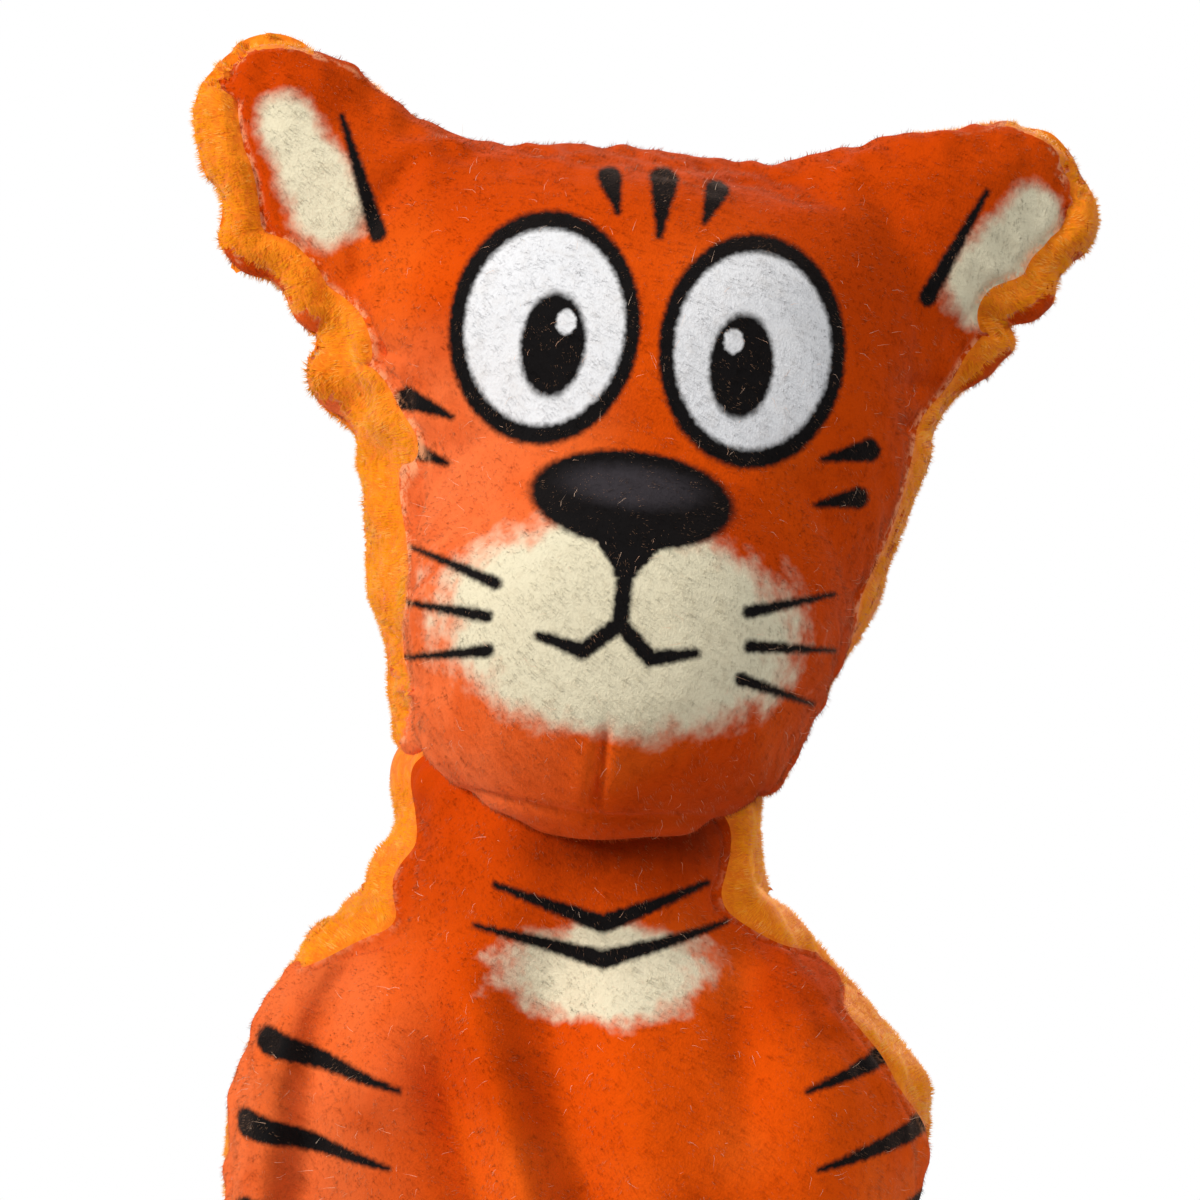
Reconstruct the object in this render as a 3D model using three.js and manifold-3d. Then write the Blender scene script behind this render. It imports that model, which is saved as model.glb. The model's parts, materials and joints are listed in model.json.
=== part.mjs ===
// A stuffed cat toy for a dog, sitting upright. Printed velour covers its front, long-pile plush its back.
// The covers are sewn together round the sides and filled with fibre, and the belly holds a squeaker.
// Millimetres, +Z up. The toy faces -Y and sits on the XY plane, with the origin in the middle of its base.
// Left and right are as seen from the front, so left is -X.

import * as THREE from "three";
import { mergeVertices } from "three/addons/utils/BufferGeometryUtils.js";
import Module from "manifold-3d";

const wasm = await Module();
wasm.setup();

// Fabric, seams and fits
const VELOUR_WALL = 2.4; // cloth and short pile
const PLUSH_WALL = 5; // cloth and long pile, pressed flat
const SEAM_ALLOWANCE = 5; // width of the edges turned in at a seam
const SEAM_LAYER = 1.3; // thickness of one turned-in edge
const OVERLOCK_BEAD = 2; // thread sewn over the two turned-in edges
const FIT = 0.3; // gap between pieces that touch

// Trunk: the sewn bag from the seat to the collar, with depths measured from its side seams
const TRUNK_UNDERSIDE = -14; // where the rounded bag would end if it didn't sit flat
const SEAT = { height: 4, width: 110, front: 41, back: 43 };
const BELLY = { height: 66, width: 137, front: 43, back: 44 };
const CHEST = { height: 97, width: 118, front: 34, back: 39 };
const SHOULDER = { height: 113, width: 92, front: 27, back: 37 };
const COLLAR = { height: 123, width: 74, front: 24, back: 36 };
const TRUNK_TOP = 128;
const BASE_PANEL_THICKNESS = 2.4;

// Folds of the slack front, each straight from one point to the other. A furrow's rise is negative.
const CHEST_FURROW = { fromAcross: -32, fromUp: 108, toAcross: -2, toUp: 44, width: 9, rise: -5.5 };
const CHEST_LEFT_RIDGE = { fromAcross: -46, fromUp: 100, toAcross: -19, toUp: 42, width: 10, rise: 3.5 };
const CHEST_RIGHT_RIDGE = { fromAcross: -16, fromUp: 106, toAcross: 18, toUp: 48, width: 10, rise: 3 };
const LEFT_FLANK_FURROW = { fromAcross: -46, fromUp: 116, toAcross: -61, toUp: 56, width: 7, rise: -4.5 };
const RIGHT_FLANK_FURROW = { fromAcross: 33, fromUp: 116, toAcross: 37, toUp: 66, width: 7, rise: -3 };
const FOLD_RUNOUT = 14; // how far before and after its ends a fold grows to its full rise

// Neck: a ball that the head turns on, over a stem that stands in the trunk
const NECK_BALL_RADIUS = 30;
const NECK_STEM_RADIUS = 26;
const NECK_ROOT = 113; // height of the stem's foot inside the trunk
const NECK_SETBACK = 4; // how far the neck lies behind the side seams
const NECK_RUNNING_GAP = 0.6;
const PIVOT_HEIGHT = 140;
const SEAM_RING_WALL = 1.2;
const SEAM_RING_HEIGHT = 11;

// Head: heights are above the pivot, and depths are measured from its side seams
const HEAD_ROLL = 6.5; // degrees, leaning to the right
const HEAD_UNDERSIDE = -6;
const JAW = { height: 4, width: 74, front: 40, back: 41 };
const CHEEK = { height: 44, width: 97, front: 43, back: 48 };
const BROW = { height: 86, width: 119, front: 40, back: 45 };
const TEMPLE = { height: 108, width: 107, front: 31, back: 37 };
const CROWN = { height: 125, width: 88, front: 17, back: 20 };
const HEAD_TOP = 132;
const MUZZLE_CENTRE = { forward: 24, up: 31 };
const MUZZLE_RADII = { side: 45, forward: 37, up: 41 };
const CHIN_SEAM_HEIGHT = -2;

// Ears: flat lobes whose rounded root lies in a groove of the head, where it folds
const EAR_BASE_ACROSS = 54; // middle of the ear's root, from the head's middle
const EAR_BASE_UP = 109;
const EAR_SPLAY = 70; // degrees from straight up
const EAR_ROOT_RADIUS = 7.5;
const EAR_ROOT_DEPTH = 12; // how far the lobe's rounded end would run into the head
const EAR_ROOT = { height: 0, width: 47, thickness: 15 };
const EAR_BODY = { height: 14, width: 47, thickness: 14 };
const EAR_SHOULDER = { height: 28, width: 39, thickness: 12 };
const EAR_CORNER = { height: 38, width: 24, thickness: 8 };
const EAR_LENGTH = 43;
const EAR_TIP_RISE = 11; // how far the tip lies above the middle of the root
const EAR_LEAN = { left: 4, right: 14 }; // degrees, backwards
const EAR_FOLD = 35; // degrees, forwards and backwards from its lean

// Squeaker, with its axis from front to back
const SQUEAKER_HEIGHT = 58;
const SQUEAKER_RADIUS = 19;
const SQUEAKER_WALL = 1.4;
const SQUEAKER_CUP_DEPTH = 14;
const SQUEAKER_CAP_DEPTH = 16;
const SQUEAKER_CAP_OVERLAP = 4; // how far the cap stands in the cup
const SQUEAKER_RUNNING_GAP = 0.4;
const SQUEAKER_CAP_DOME = 2;
const REED_HOLDER_RADIUS = 4.7;
const REED_FLANGE_RADIUS = 8;
const REED_FLANGE_THICKNESS = 1.5;
const REED_HOLDER_DEPTH = 1; // how far it stands into the cup
const REED_AIR_RADIUS = 1.8;
const REED_SIZE = { width: 3, length: 8, thickness: 0.4 };
const FILLING_SLIT = { width: 34, height: 4 }; // the cut in the filling that the squeaker goes in by

// Facets
const PLAIN_FACETS = { frontSides: 12, backSides: 12, levelRings: 2 };
const FOLDED_FACETS = { frontSides: 24, backSides: 14, levelRings: 3 };
const EAR_FACETS = { frontSides: 8, backSides: 8, levelRings: 2 };
const MUZZLE_SIDES = 24;
const MUZZLE_RINGS = 12;
const ROUND_SIDES = 24;
const BALL_RINGS = 8;
const REACH = 500; // larger than the toy, for cutting blocks

const radians = THREE.MathUtils.degToRad;

// Solids and cuts

/** A closed three.js geometry as a solid. */
function solid(geometry) {
  const bare = geometry.clone();
  bare.deleteAttribute("normal");
  bare.deleteAttribute("uv");
  const merged = mergeVertices(bare, 1e-4);
  const triVerts = new Uint32Array(merged.index.array);
  const vertProperties = new Float32Array(merged.getAttribute("position").array);
  return new wasm.Manifold(new wasm.Mesh({ numProp: 3, vertProperties, triVerts }));
}

/** A solid as a three.js mesh with its own name and material. */
function piece(name, shape, material) {
  const made = shape.getMesh();
  const corners = new Float32Array(made.numVert * 3);
  for (let i = 0; i < made.numVert; i++) {
    corners.set(made.vertProperties.subarray(i * made.numProp, i * made.numProp + 3), i * 3);
  }
  const geometry = new THREE.BufferGeometry();
  geometry.setAttribute("position", new THREE.BufferAttribute(corners, 3));
  geometry.setIndex(new THREE.BufferAttribute(made.triVerts, 1));
  geometry.computeVertexNormals();
  const mesh = new THREE.Mesh(geometry, material);
  mesh.name = name;
  return mesh;
}

/** A block between two corners. Infinite corners stop at REACH. */
function block(low, high) {
  const from = low.map((value) => Math.max(value, -REACH));
  const to = high.map((value) => Math.min(value, REACH));
  const size = to.map((value, i) => value - from[i]);
  const middle = to.map((value, i) => (value + from[i]) / 2);
  return solid(new THREE.BoxGeometry(...size).translate(...middle));
}

const ANY = Infinity;
const leftOf = (x) => block([-ANY, -ANY, -ANY], [x, ANY, ANY]);
const rightOf = (x) => block([x, -ANY, -ANY], [ANY, ANY, ANY]);
const inFrontOf = (y) => block([-ANY, -ANY, -ANY], [ANY, y, ANY]);
const behind = (y) => block([-ANY, y, -ANY], [ANY, ANY, ANY]);
const below = (z) => block([-ANY, -ANY, -ANY], [ANY, ANY, z]);
const above = (z) => block([-ANY, -ANY, z], [ANY, ANY, ANY]);
const slab = (y, thickness) => block([-ANY, y - thickness / 2, -ANY], [ANY, y + thickness / 2, ANY]);

/** A turned solid about the vertical axis, from profile points of radius and height. */
function turned(profile) {
  const points = profile.map(([radius, height]) => new THREE.Vector2(radius, height));
  return solid(new THREE.LatheGeometry(points, ROUND_SIDES).rotateX(Math.PI / 2));
}

/** A turned solid about a front-to-back axis at a height, from profile points of radius and depth. */
function turnedAcross(profile, height = 0) {
  const points = profile.map(([radius, depth]) => new THREE.Vector2(radius, depth));
  return solid(new THREE.LatheGeometry(points, ROUND_SIDES).translate(0, 0, height));
}

/** An upright cylinder, from a height down or up by REACH. */
function uprightBore(radius, from, way) {
  const bore = new THREE.CylinderGeometry(radius, radius, REACH, ROUND_SIDES).rotateX(Math.PI / 2);
  return bore.translate(0, 0, from + (way * REACH) / 2);
}

const NO_INSET = { side: 0, front: 0, back: 0 };

/** How far a layer lies inside a sewn cover, at the seams, in front and behind. */
function under(extra) {
  return { side: VELOUR_WALL + extra, front: VELOUR_WALL + extra, back: PLUSH_WALL + extra };
}

/** How far a cover stands out at a place on its front because of its folds. */
function foldRise(folds, across, up) {
  const { smoothstep } = THREE.MathUtils;
  return folds.reduce((sum, { fromAcross, fromUp, toAcross, toUp, width, rise }) => {
    const start = new THREE.Vector2(fromAcross, fromUp);
    const run = new THREE.Vector2(toAcross, toUp).sub(start);
    const way = new THREE.Vector2(across, up).sub(start);
    const length = run.length();
    const along = way.dot(run) / length;
    const aside = way.cross(run) / length;
    const grown = smoothstep(along, -FOLD_RUNOUT, FOLD_RUNOUT);
    const left = smoothstep(length - along, -FOLD_RUNOUT, FOLD_RUNOUT);
    return sum + rise * grown * left * Math.exp(-((aside / width) ** 2));
  }, 0);
}

/**
 * A sewn and filled form: a closed bag that passes smoothly through its levels. Each level is half an
 * ellipse in front of the seam plane and half an ellipse behind it.
 */
function stuffedForm(levels, inset, facets = PLAIN_FACETS, folds = []) {
  const smooth = (points) => new THREE.CatmullRomCurve3(points, false, "catmullrom", 0.5);
  const widths = smooth(levels.map((l) => new THREE.Vector3(l.shift ?? 0, l.width / 2, l.height)));
  const depths = smooth(levels.map((l) => new THREE.Vector3(l.front, l.back, l.height)));
  const drawnIn = (value, by) => Math.max(value - by, value / 10);
  const [low, high] = [levels[0].height, levels.at(-1).height];
  const middle = (low + high) / 2;
  const squeeze = (high - low - 2 * inset.side) / (high - low);

  const { frontSides, backSides, levelRings } = facets;
  const around = frontSides + backSides;
  const rings = levelRings * (levels.length - 1);
  const geometry = new THREE.SphereGeometry(1, around, rings);
  const corners = geometry.getAttribute("position");
  for (let row = 0; row <= rings; row++) {
    const { x: shift, y: half, z: height } = widths.getPoint(1 - row / rings);
    const { x: front, y: back } = depths.getPoint(1 - row / rings);
    const up = middle + (height - middle) * squeeze;
    const open = row % rings === 0 ? 0 : 1; // the bag is closed at both ends
    for (let step = 0; step <= around; step++) {
      const inFront = step <= frontSides;
      const turn = inFront ? step / frontSides : 1 + (step - frontSides) / backSides;
      const x = shift - open * drawnIn(half, inset.side) * Math.cos(turn * Math.PI);
      const depth = inFront
        ? drawnIn(front, inset.front) + foldRise(folds, x, up)
        : drawnIn(back, inset.back);
      corners.setXYZ(row * (around + 1) + step, x, -open * depth * Math.sin(turn * Math.PI), up);
    }
  }
  return geometry;
}

/**
 * The pieces of a sewn bag whose side seams lie in one plane: both covers with their turned-in edges,
 * the overlock thread over those edges, and the filling.
 */
function sewnBag(layer, seamPlane) {
  const cover = layer(NO_INSET).subtract(layer(under(0)));
  const edges = layer(under(-FIT)).subtract(layer(under(SEAM_ALLOWANCE)));
  const edge = (side) => edges.intersect(slab(seamPlane + (side * (FIT + SEAM_LAYER)) / 2, SEAM_LAYER));
  const beadDepth = SEAM_ALLOWANCE + FIT;
  const bead = layer(under(beadDepth)).subtract(layer(under(beadDepth + OVERLOCK_BEAD)));
  const slot = slab(seamPlane, 2 * SEAM_LAYER + 3 * FIT);
  const core = layer(under(beadDepth + OVERLOCK_BEAD + FIT));
  return {
    front: cover.intersect(inFrontOf(seamPlane - FIT / 2)).add(edge(-1)),
    back: cover.intersect(behind(seamPlane + FIT / 2)).add(edge(1)),
    overlock: bead.intersect(slab(seamPlane, OVERLOCK_BEAD)),
    filling: layer(under(FIT)).subtract(slot.subtract(core)),
  };
}

// Finishes
const finish = (color, roughness) => new THREE.MeshStandardMaterial({ color, roughness, metalness: 0 });
const PRINTED_VELOUR = finish(0xe0571a, 0.95);
const AMBER_PLUSH = finish(0xe88a1e, 0.9);
const FIBRE_FILL = finish(0xf2f0ea, 1);
const THREAD = finish(0xd9772a, 0.8);
const SQUEAKER_PLASTIC = finish(0xf4f4f0, 0.45);
const REED_PLASTIC = finish(0x3a3a40, 0.4);

// Trunk
const TRUNK_LEVELS = [
  { height: TRUNK_UNDERSIDE, width: 0, front: 0, back: 0 },
  SEAT,
  BELLY,
  CHEST,
  SHOULDER,
  COLLAR,
  { height: TRUNK_TOP, width: 0, front: 0, back: 0 },
];

const FRONT_FOLDS = [
  CHEST_FURROW,
  CHEST_LEFT_RIDGE,
  CHEST_RIGHT_RIDGE,
  LEFT_FLANK_FURROW,
  RIGHT_FLANK_FURROW,
];

/** The way through the collar that the neck's stem turns in, clear of the ball and its seam ring. */
function neckWay() {
  const stem = uprightBore(NECK_STEM_RADIUS + FIT, NECK_ROOT - FIT, 1).translate(0, NECK_SETBACK, 0);
  return solid(stem).add(solid(socketBall().translate(0, NECK_SETBACK, PIVOT_HEIGHT)));
}

/** The hollow in the filling that the squeaker sits in, and the slit that leads to it from behind. */
function squeakerPocket() {
  const radius = SQUEAKER_RADIUS + FIT;
  const front = -SQUEAKER_LENGTH / 2 - FIT;
  const back = SQUEAKER_LENGTH / 2 + REED_FLANGE_THICKNESS + 2 * FIT;
  const hollow = turnedAcross([[0, front], [radius, front], [radius, back], [0, back]], SQUEAKER_HEIGHT);
  const { width, height } = FILLING_SLIT;
  const slit = block(
    [-width / 2, 0, SQUEAKER_HEIGHT - height / 2],
    [width / 2, ANY, SQUEAKER_HEIGHT + height / 2],
  );
  return hollow.add(slit);
}

function buildTrunk() {
  const layer = (inset) => solid(stuffedForm(TRUNK_LEVELS, inset, FOLDED_FACETS, FRONT_FOLDS));
  const bag = sewnBag(layer, 0);
  const room = above(BASE_PANEL_THICKNESS + FIT).subtract(neckWay());
  const overlock = bag.overlock.intersect(room);
  const base = layer(NO_INSET).intersect(above(0)).intersect(below(BASE_PANEL_THICKNESS));
  const group = new THREE.Group();
  group.add(
    piece("body_front_panel", bag.front.intersect(room), PRINTED_VELOUR),
    piece("body_back_panel", bag.back.intersect(room), AMBER_PLUSH),
    piece("base_panel", base, AMBER_PLUSH),
    piece("body_filling", bag.filling.intersect(room).subtract(squeakerPocket()), FIBRE_FILL),
    piece("body_left_overlock", overlock.intersect(leftOf(0)), THREAD),
    piece("body_right_overlock", overlock.intersect(rightOf(0)), THREAD),
  );
  return group;
}

// Squeaker
const SQUEAKER_LENGTH = SQUEAKER_CUP_DEPTH + SQUEAKER_CAP_DEPTH - SQUEAKER_CAP_OVERLAP;

function buildSqueaker() {
  const back = SQUEAKER_LENGTH / 2;
  const cupFloor = back - SQUEAKER_WALL;
  const cupMouth = back - SQUEAKER_CUP_DEPTH;
  const cupBore = SQUEAKER_RADIUS - SQUEAKER_WALL;
  const reedBore = REED_HOLDER_RADIUS + FIT;
  const cup = turnedAcross([
    [reedBore, cupFloor],
    [cupBore, cupFloor],
    [cupBore, cupMouth],
    [SQUEAKER_RADIUS, cupMouth],
    [SQUEAKER_RADIUS, back],
    [reedBore, back],
    [reedBore, cupFloor],
  ]);

  const front = -SQUEAKER_LENGTH / 2;
  const capRadius = cupBore - SQUEAKER_RUNNING_GAP;
  const capBore = capRadius - SQUEAKER_WALL;
  const capEdge = front + SQUEAKER_CAP_DOME;
  const capEnd = front + SQUEAKER_CAP_DEPTH;
  const cap = turnedAcross([
    [0, front],
    [capRadius / 2, front + SQUEAKER_CAP_DOME / 4],
    [capRadius, capEdge],
    [capRadius, capEnd],
    [capBore, capEnd],
    [capBore, capEdge + SQUEAKER_WALL],
    [capRadius / 2, front + SQUEAKER_CAP_DOME / 4 + SQUEAKER_WALL],
    [0, front + SQUEAKER_WALL],
  ]);

  const holderFront = cupFloor - REED_HOLDER_DEPTH;
  const flangeFront = back + FIT;
  const flangeBack = flangeFront + REED_FLANGE_THICKNESS;
  const holder = turnedAcross([
    [REED_AIR_RADIUS, holderFront],
    [REED_HOLDER_RADIUS, holderFront],
    [REED_HOLDER_RADIUS, flangeFront],
    [REED_FLANGE_RADIUS, flangeFront],
    [REED_FLANGE_RADIUS, flangeBack],
    [REED_AIR_RADIUS, flangeBack],
    [REED_AIR_RADIUS, holderFront],
  ]);

  const { width, length, thickness } = REED_SIZE;
  const reedBack = holderFront - FIT;
  const reed = block([-width / 2, reedBack - thickness, -length / 2], [width / 2, reedBack, length / 2]);

  const group = new THREE.Group();
  group.position.z = SQUEAKER_HEIGHT;
  group.add(
    piece("squeaker_cup", cup, SQUEAKER_PLASTIC),
    piece("squeaker_cap", cap, SQUEAKER_PLASTIC),
    piece("squeaker_reed_holder", holder, REED_PLASTIC),
    piece("squeaker_reed", reed, REED_PLASTIC),
  );
  return group;
}

// Neck, about the pivot
const SOCKET_RADIUS = NECK_BALL_RADIUS + SEAM_RING_WALL + 2 * NECK_RUNNING_GAP;

/** The room that the neck's ball and its seam ring turn in. */
function socketBall() {
  return new THREE.SphereGeometry(SOCKET_RADIUS, ROUND_SIDES, 2 * BALL_RINGS).rotateX(Math.PI / 2);
}

/** The ball and its stem, drawn in by an inset. */
function neckForm(inset) {
  const ball = NECK_BALL_RADIUS - inset;
  const stem = NECK_STEM_RADIUS - inset;
  const foot = NECK_ROOT - PIVOT_HEIGHT + inset;
  const start = -Math.acos(stem / ball);
  const profile = [[0, foot], [stem, foot]];
  for (let i = 0; i < BALL_RINGS; i++) {
    const angle = THREE.MathUtils.lerp(start, Math.PI / 2, i / BALL_RINGS);
    profile.push([ball * Math.cos(angle), ball * Math.sin(angle)]);
  }
  return turned([...profile, [0, ball]]);
}

/** A ring cut from a hollow ball: the gathered, sewn-down edge of the head's opening. */
function seamRing() {
  const inner = NECK_BALL_RADIUS + NECK_RUNNING_GAP;
  const arc = (radius, way) =>
    [-1, -0.5, 0, 0.5, 1].map((step) => {
      const height = (way * step * SEAM_RING_HEIGHT) / 2;
      return [Math.sqrt(radius ** 2 - height ** 2), height];
    });
  const outline = [...arc(inner + SEAM_RING_WALL, 1), ...arc(inner, -1)];
  return turned([...outline, outline[0]]);
}

function buildNeck() {
  const cover = neckForm(0).subtract(neckForm(VELOUR_WALL));
  const group = new THREE.Group();
  group.position.set(0, NECK_SETBACK, PIVOT_HEIGHT);
  group.add(
    piece("neck_front_panel", cover.intersect(inFrontOf(-FIT / 2)), PRINTED_VELOUR),
    piece("neck_back_panel", cover.intersect(behind(FIT / 2)), AMBER_PLUSH),
    piece("neck_filling", neckForm(VELOUR_WALL + FIT), FIBRE_FILL),
    piece("neck_seam_ring", seamRing(), THREAD),
  );
  return group;
}

// Head, about the pivot, with its side seams in line with the trunk's
const HEAD_LEVELS = [
  { height: HEAD_UNDERSIDE, width: 0, front: 0, back: 0 },
  JAW,
  CHEEK,
  BROW,
  TEMPLE,
  CROWN,
  { height: HEAD_TOP, width: 0, front: 0, back: 0 },
];

const skullForm = (inset) => stuffedForm(HEAD_LEVELS, inset).translate(0, -NECK_SETBACK, 0);

/** The skull with the muzzle that swells out of its front. */
function headLayer(inset) {
  const muzzle = new THREE.SphereGeometry(1, MUZZLE_SIDES, MUZZLE_RINGS).rotateX(Math.PI / 2);
  const { side, forward, up } = MUZZLE_RADII;
  muzzle.scale(side - inset.side, forward - inset.front, up - inset.front);
  muzzle.translate(0, -NECK_SETBACK - MUZZLE_CENTRE.forward, MUZZLE_CENTRE.up);
  return solid(skullForm(inset)).add(solid(muzzle));
}

/** The hollow that the head turns in on the neck's ball, open below behind the chin. */
function neckSocket() {
  const mouth = solid(uprightBore(SOCKET_RADIUS, 0, -1)).intersect(behind(-SOCKET_RADIUS / 2));
  return solid(socketBall()).add(mouth);
}

/** An ear's group, seated on the head. The side is -1 at the left and 1 at the right. */
function earSeat(side, lean) {
  const group = new THREE.Group();
  group.position.set(side * EAR_BASE_ACROSS, -NECK_SETBACK, EAR_BASE_UP);
  group.rotation.set(-radians(lean), side * radians(EAR_SPLAY), 0, "YXZ");
  group.updateMatrix();
  return group;
}

/** A cylinder along the line that an ear folds on. */
function foldLine(radius, length) {
  return new THREE.CylinderGeometry(radius, radius, length, ROUND_SIDES).rotateZ(Math.PI / 2);
}

/** The groove in the head that an ear's rounded root lies in. */
function earGroove(side) {
  const groove = foldLine(EAR_ROOT_RADIUS + FIT, EAR_ROOT.width + 2 * FIT);
  return solid(groove.applyMatrix4(earSeat(side, 0).matrix));
}

/** The head as an ear meets it anywhere in its fold, in the ear's own place. */
function headInTheWay(side, lean) {
  const clear = { side: -FIT, front: -FIT, back: -FIT };
  const met = [-EAR_FOLD, 0, EAR_FOLD].map((fold) => {
    const toEar = earSeat(side, lean + fold).matrix.clone().invert();
    return solid(skullForm(clear).applyMatrix4(toEar));
  });
  return met.reduce((all, head) => all.add(head)).subtract(solid(foldLine(EAR_ROOT_RADIUS, EAR_ROOT.width)));
}

/** One ear: its front and back halves, with a rounded root about the line that it folds on. */
function buildEar(name, side, lean) {
  const level = ({ height, width, thickness }) => ({
    height,
    width,
    front: thickness / 2,
    back: thickness / 2,
    shift: (-side * EAR_TIP_RISE * height) / EAR_LENGTH,
  });
  const levels = [
    level({ height: -EAR_ROOT_DEPTH, width: 0, thickness: 0 }),
    level(EAR_ROOT),
    level(EAR_BODY),
    level(EAR_SHOULDER),
    level(EAR_CORNER),
    level({ height: EAR_LENGTH, width: 0, thickness: 0 }),
  ];
  const kept = above(0).add(solid(foldLine(EAR_ROOT_RADIUS, EAR_ROOT.width)));
  const lobe = solid(stuffedForm(levels, NO_INSET, EAR_FACETS));
  const ear = lobe.intersect(kept).subtract(headInTheWay(side, lean));
  const group = earSeat(side, lean);
  group.add(
    piece(`ear_${name}_front`, ear.intersect(inFrontOf(-FIT / 2)), PRINTED_VELOUR),
    piece(`ear_${name}_back`, ear.intersect(behind(FIT / 2)), AMBER_PLUSH),
  );
  return group;
}

function buildHead() {
  const bag = sewnBag(headLayer, -NECK_SETBACK);
  const hollows = neckSocket().add(earGroove(-1)).add(earGroove(1));
  const front = bag.front.subtract(hollows);
  const group = new THREE.Group();
  group.position.set(0, NECK_SETBACK, PIVOT_HEIGHT);
  group.rotation.y = radians(HEAD_ROLL);
  group.add(
    piece("face_panel", front.intersect(above(CHIN_SEAM_HEIGHT + FIT / 2)), PRINTED_VELOUR),
    piece("chin_panel", front.intersect(below(CHIN_SEAM_HEIGHT - FIT / 2)), PRINTED_VELOUR),
    piece("head_back_panel", bag.back.subtract(hollows), AMBER_PLUSH),
    piece("head_filling", bag.filling.subtract(hollows), FIBRE_FILL),
    piece("head_overlock", bag.overlock.subtract(hollows), THREAD),
    buildEar("left", -1, EAR_LEAN.left),
    buildEar("right", 1, EAR_LEAN.right),
  );
  return group;
}

const toy = new THREE.Group();
toy.add(buildTrunk(), buildSqueaker(), buildNeck(), buildHead());

export default toy;
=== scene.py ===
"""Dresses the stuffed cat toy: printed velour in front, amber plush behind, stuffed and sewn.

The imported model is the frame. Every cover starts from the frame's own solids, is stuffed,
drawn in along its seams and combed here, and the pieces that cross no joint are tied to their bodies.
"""

import json
import logging
import math
from contextlib import contextmanager
from dataclasses import dataclass, field
from enum import Enum
from typing import Any, Callable, ClassVar, Iterator, Mapping, Optional, Sequence, Union

import bmesh
import bpy
import numpy as np
from mathutils import Matrix, Vector
from mathutils.kdtree import KDTree


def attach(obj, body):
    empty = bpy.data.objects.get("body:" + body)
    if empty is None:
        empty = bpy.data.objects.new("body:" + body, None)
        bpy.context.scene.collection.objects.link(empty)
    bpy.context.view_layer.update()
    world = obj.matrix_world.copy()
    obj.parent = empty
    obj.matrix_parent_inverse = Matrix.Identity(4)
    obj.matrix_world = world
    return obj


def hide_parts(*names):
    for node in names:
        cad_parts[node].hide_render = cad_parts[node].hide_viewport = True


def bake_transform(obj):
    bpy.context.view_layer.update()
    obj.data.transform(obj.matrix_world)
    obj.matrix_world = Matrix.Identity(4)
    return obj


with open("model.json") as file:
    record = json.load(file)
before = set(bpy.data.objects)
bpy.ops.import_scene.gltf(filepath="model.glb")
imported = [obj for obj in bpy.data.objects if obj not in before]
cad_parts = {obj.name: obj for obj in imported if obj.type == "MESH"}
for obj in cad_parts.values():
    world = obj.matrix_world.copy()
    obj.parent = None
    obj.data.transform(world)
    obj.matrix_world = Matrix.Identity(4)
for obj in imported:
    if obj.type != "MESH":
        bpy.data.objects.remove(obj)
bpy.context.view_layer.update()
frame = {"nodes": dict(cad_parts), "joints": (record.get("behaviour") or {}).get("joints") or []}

LOG = logging.getLogger("cat_toy")
MM = 0.001
BAKE_MAP = "OFBake"
REST = "rest"
SEEN_FROM_FRONT = (1, 0, 1)
Thing = bpy.types.Object
Material = bpy.types.Material
Socket = bpy.types.NodeSocket
Colour = tuple[float, float, float, float]
Row = tuple[float, ...]
Pair = tuple[float, float]
Stroke = tuple[Pair, Pair, Pair]
Points = np.ndarray


class Slot(str, Enum):
    """Names of the record's material slots for velour, plush and fibre fill."""

    VELOUR = "printed_velour"
    PLUSH = "amber_plush"
    FILL = "fibre_fill"


class Side(Enum):
    """The toy's two sides as the camera sees them, with the sign of X."""

    LEFT = -1
    RIGHT = 1

    @property
    def ear(self) -> str:
        """The ear's body name."""
        return f"ear_{self.name.lower()}"


def joint(name: str) -> Mapping[str, Any]:
    """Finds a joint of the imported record.

    Args:
        name: The joint's name.

    Returns:
        The joint's row.
    """
    return next(row for row in frame["joints"] if row["name"] == name)


def srgb(red: int, green: int, blue: int) -> Colour:
    """Turns a colour as it looks on screen into a linear one.

    Args:
        red: Red from 0 to 255.
        green: Green from 0 to 255.
        blue: Blue from 0 to 255.

    Returns:
        The linear colour with full alpha.
    """
    def linear(part: int) -> float:
        """One channel made linear."""
        share = part / 255
        return share / 12.92 if share <= 0.04045 else ((share + 0.055) / 1.055) ** 2.4

    return (linear(red), linear(green), linear(blue), 1.0)


def ease(low: float, high: float, value: Points) -> Points:
    """A smooth step from 0 at low to 1 at high."""
    share = np.clip((value - low) / (high - low), 0, 1)
    return share * share * (3 - 2 * share)


def bell(distance: Points, width: float) -> Points:
    """A bell curve that is 1 at no distance and about a third at the width."""
    return np.exp(-(distance / width) ** 2)


def bulges(along: Points, rows: Sequence[Row]) -> Points:
    """Adds up bell curves along a line, each with its height, middle and width."""
    return sum(height * bell(along - middle, width) for height, middle, width in rows)


def unit(ways: Points, least: float = 1e-9) -> Points:
    """Directions made 1 long, apart from those that are shorter than the least."""
    return ways / np.maximum(np.linalg.norm(ways, axis=1), least)[:, None]


def tree_of(places: Points) -> KDTree:
    """Sorts points so that the nearest one is found fast.

    Args:
        places: The points.

    Returns:
        The tree, which knows each point by its number.
    """
    tree = KDTree(len(places))
    for number, place in enumerate(places):
        tree.insert(place, number)
    tree.balance()
    return tree


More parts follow.
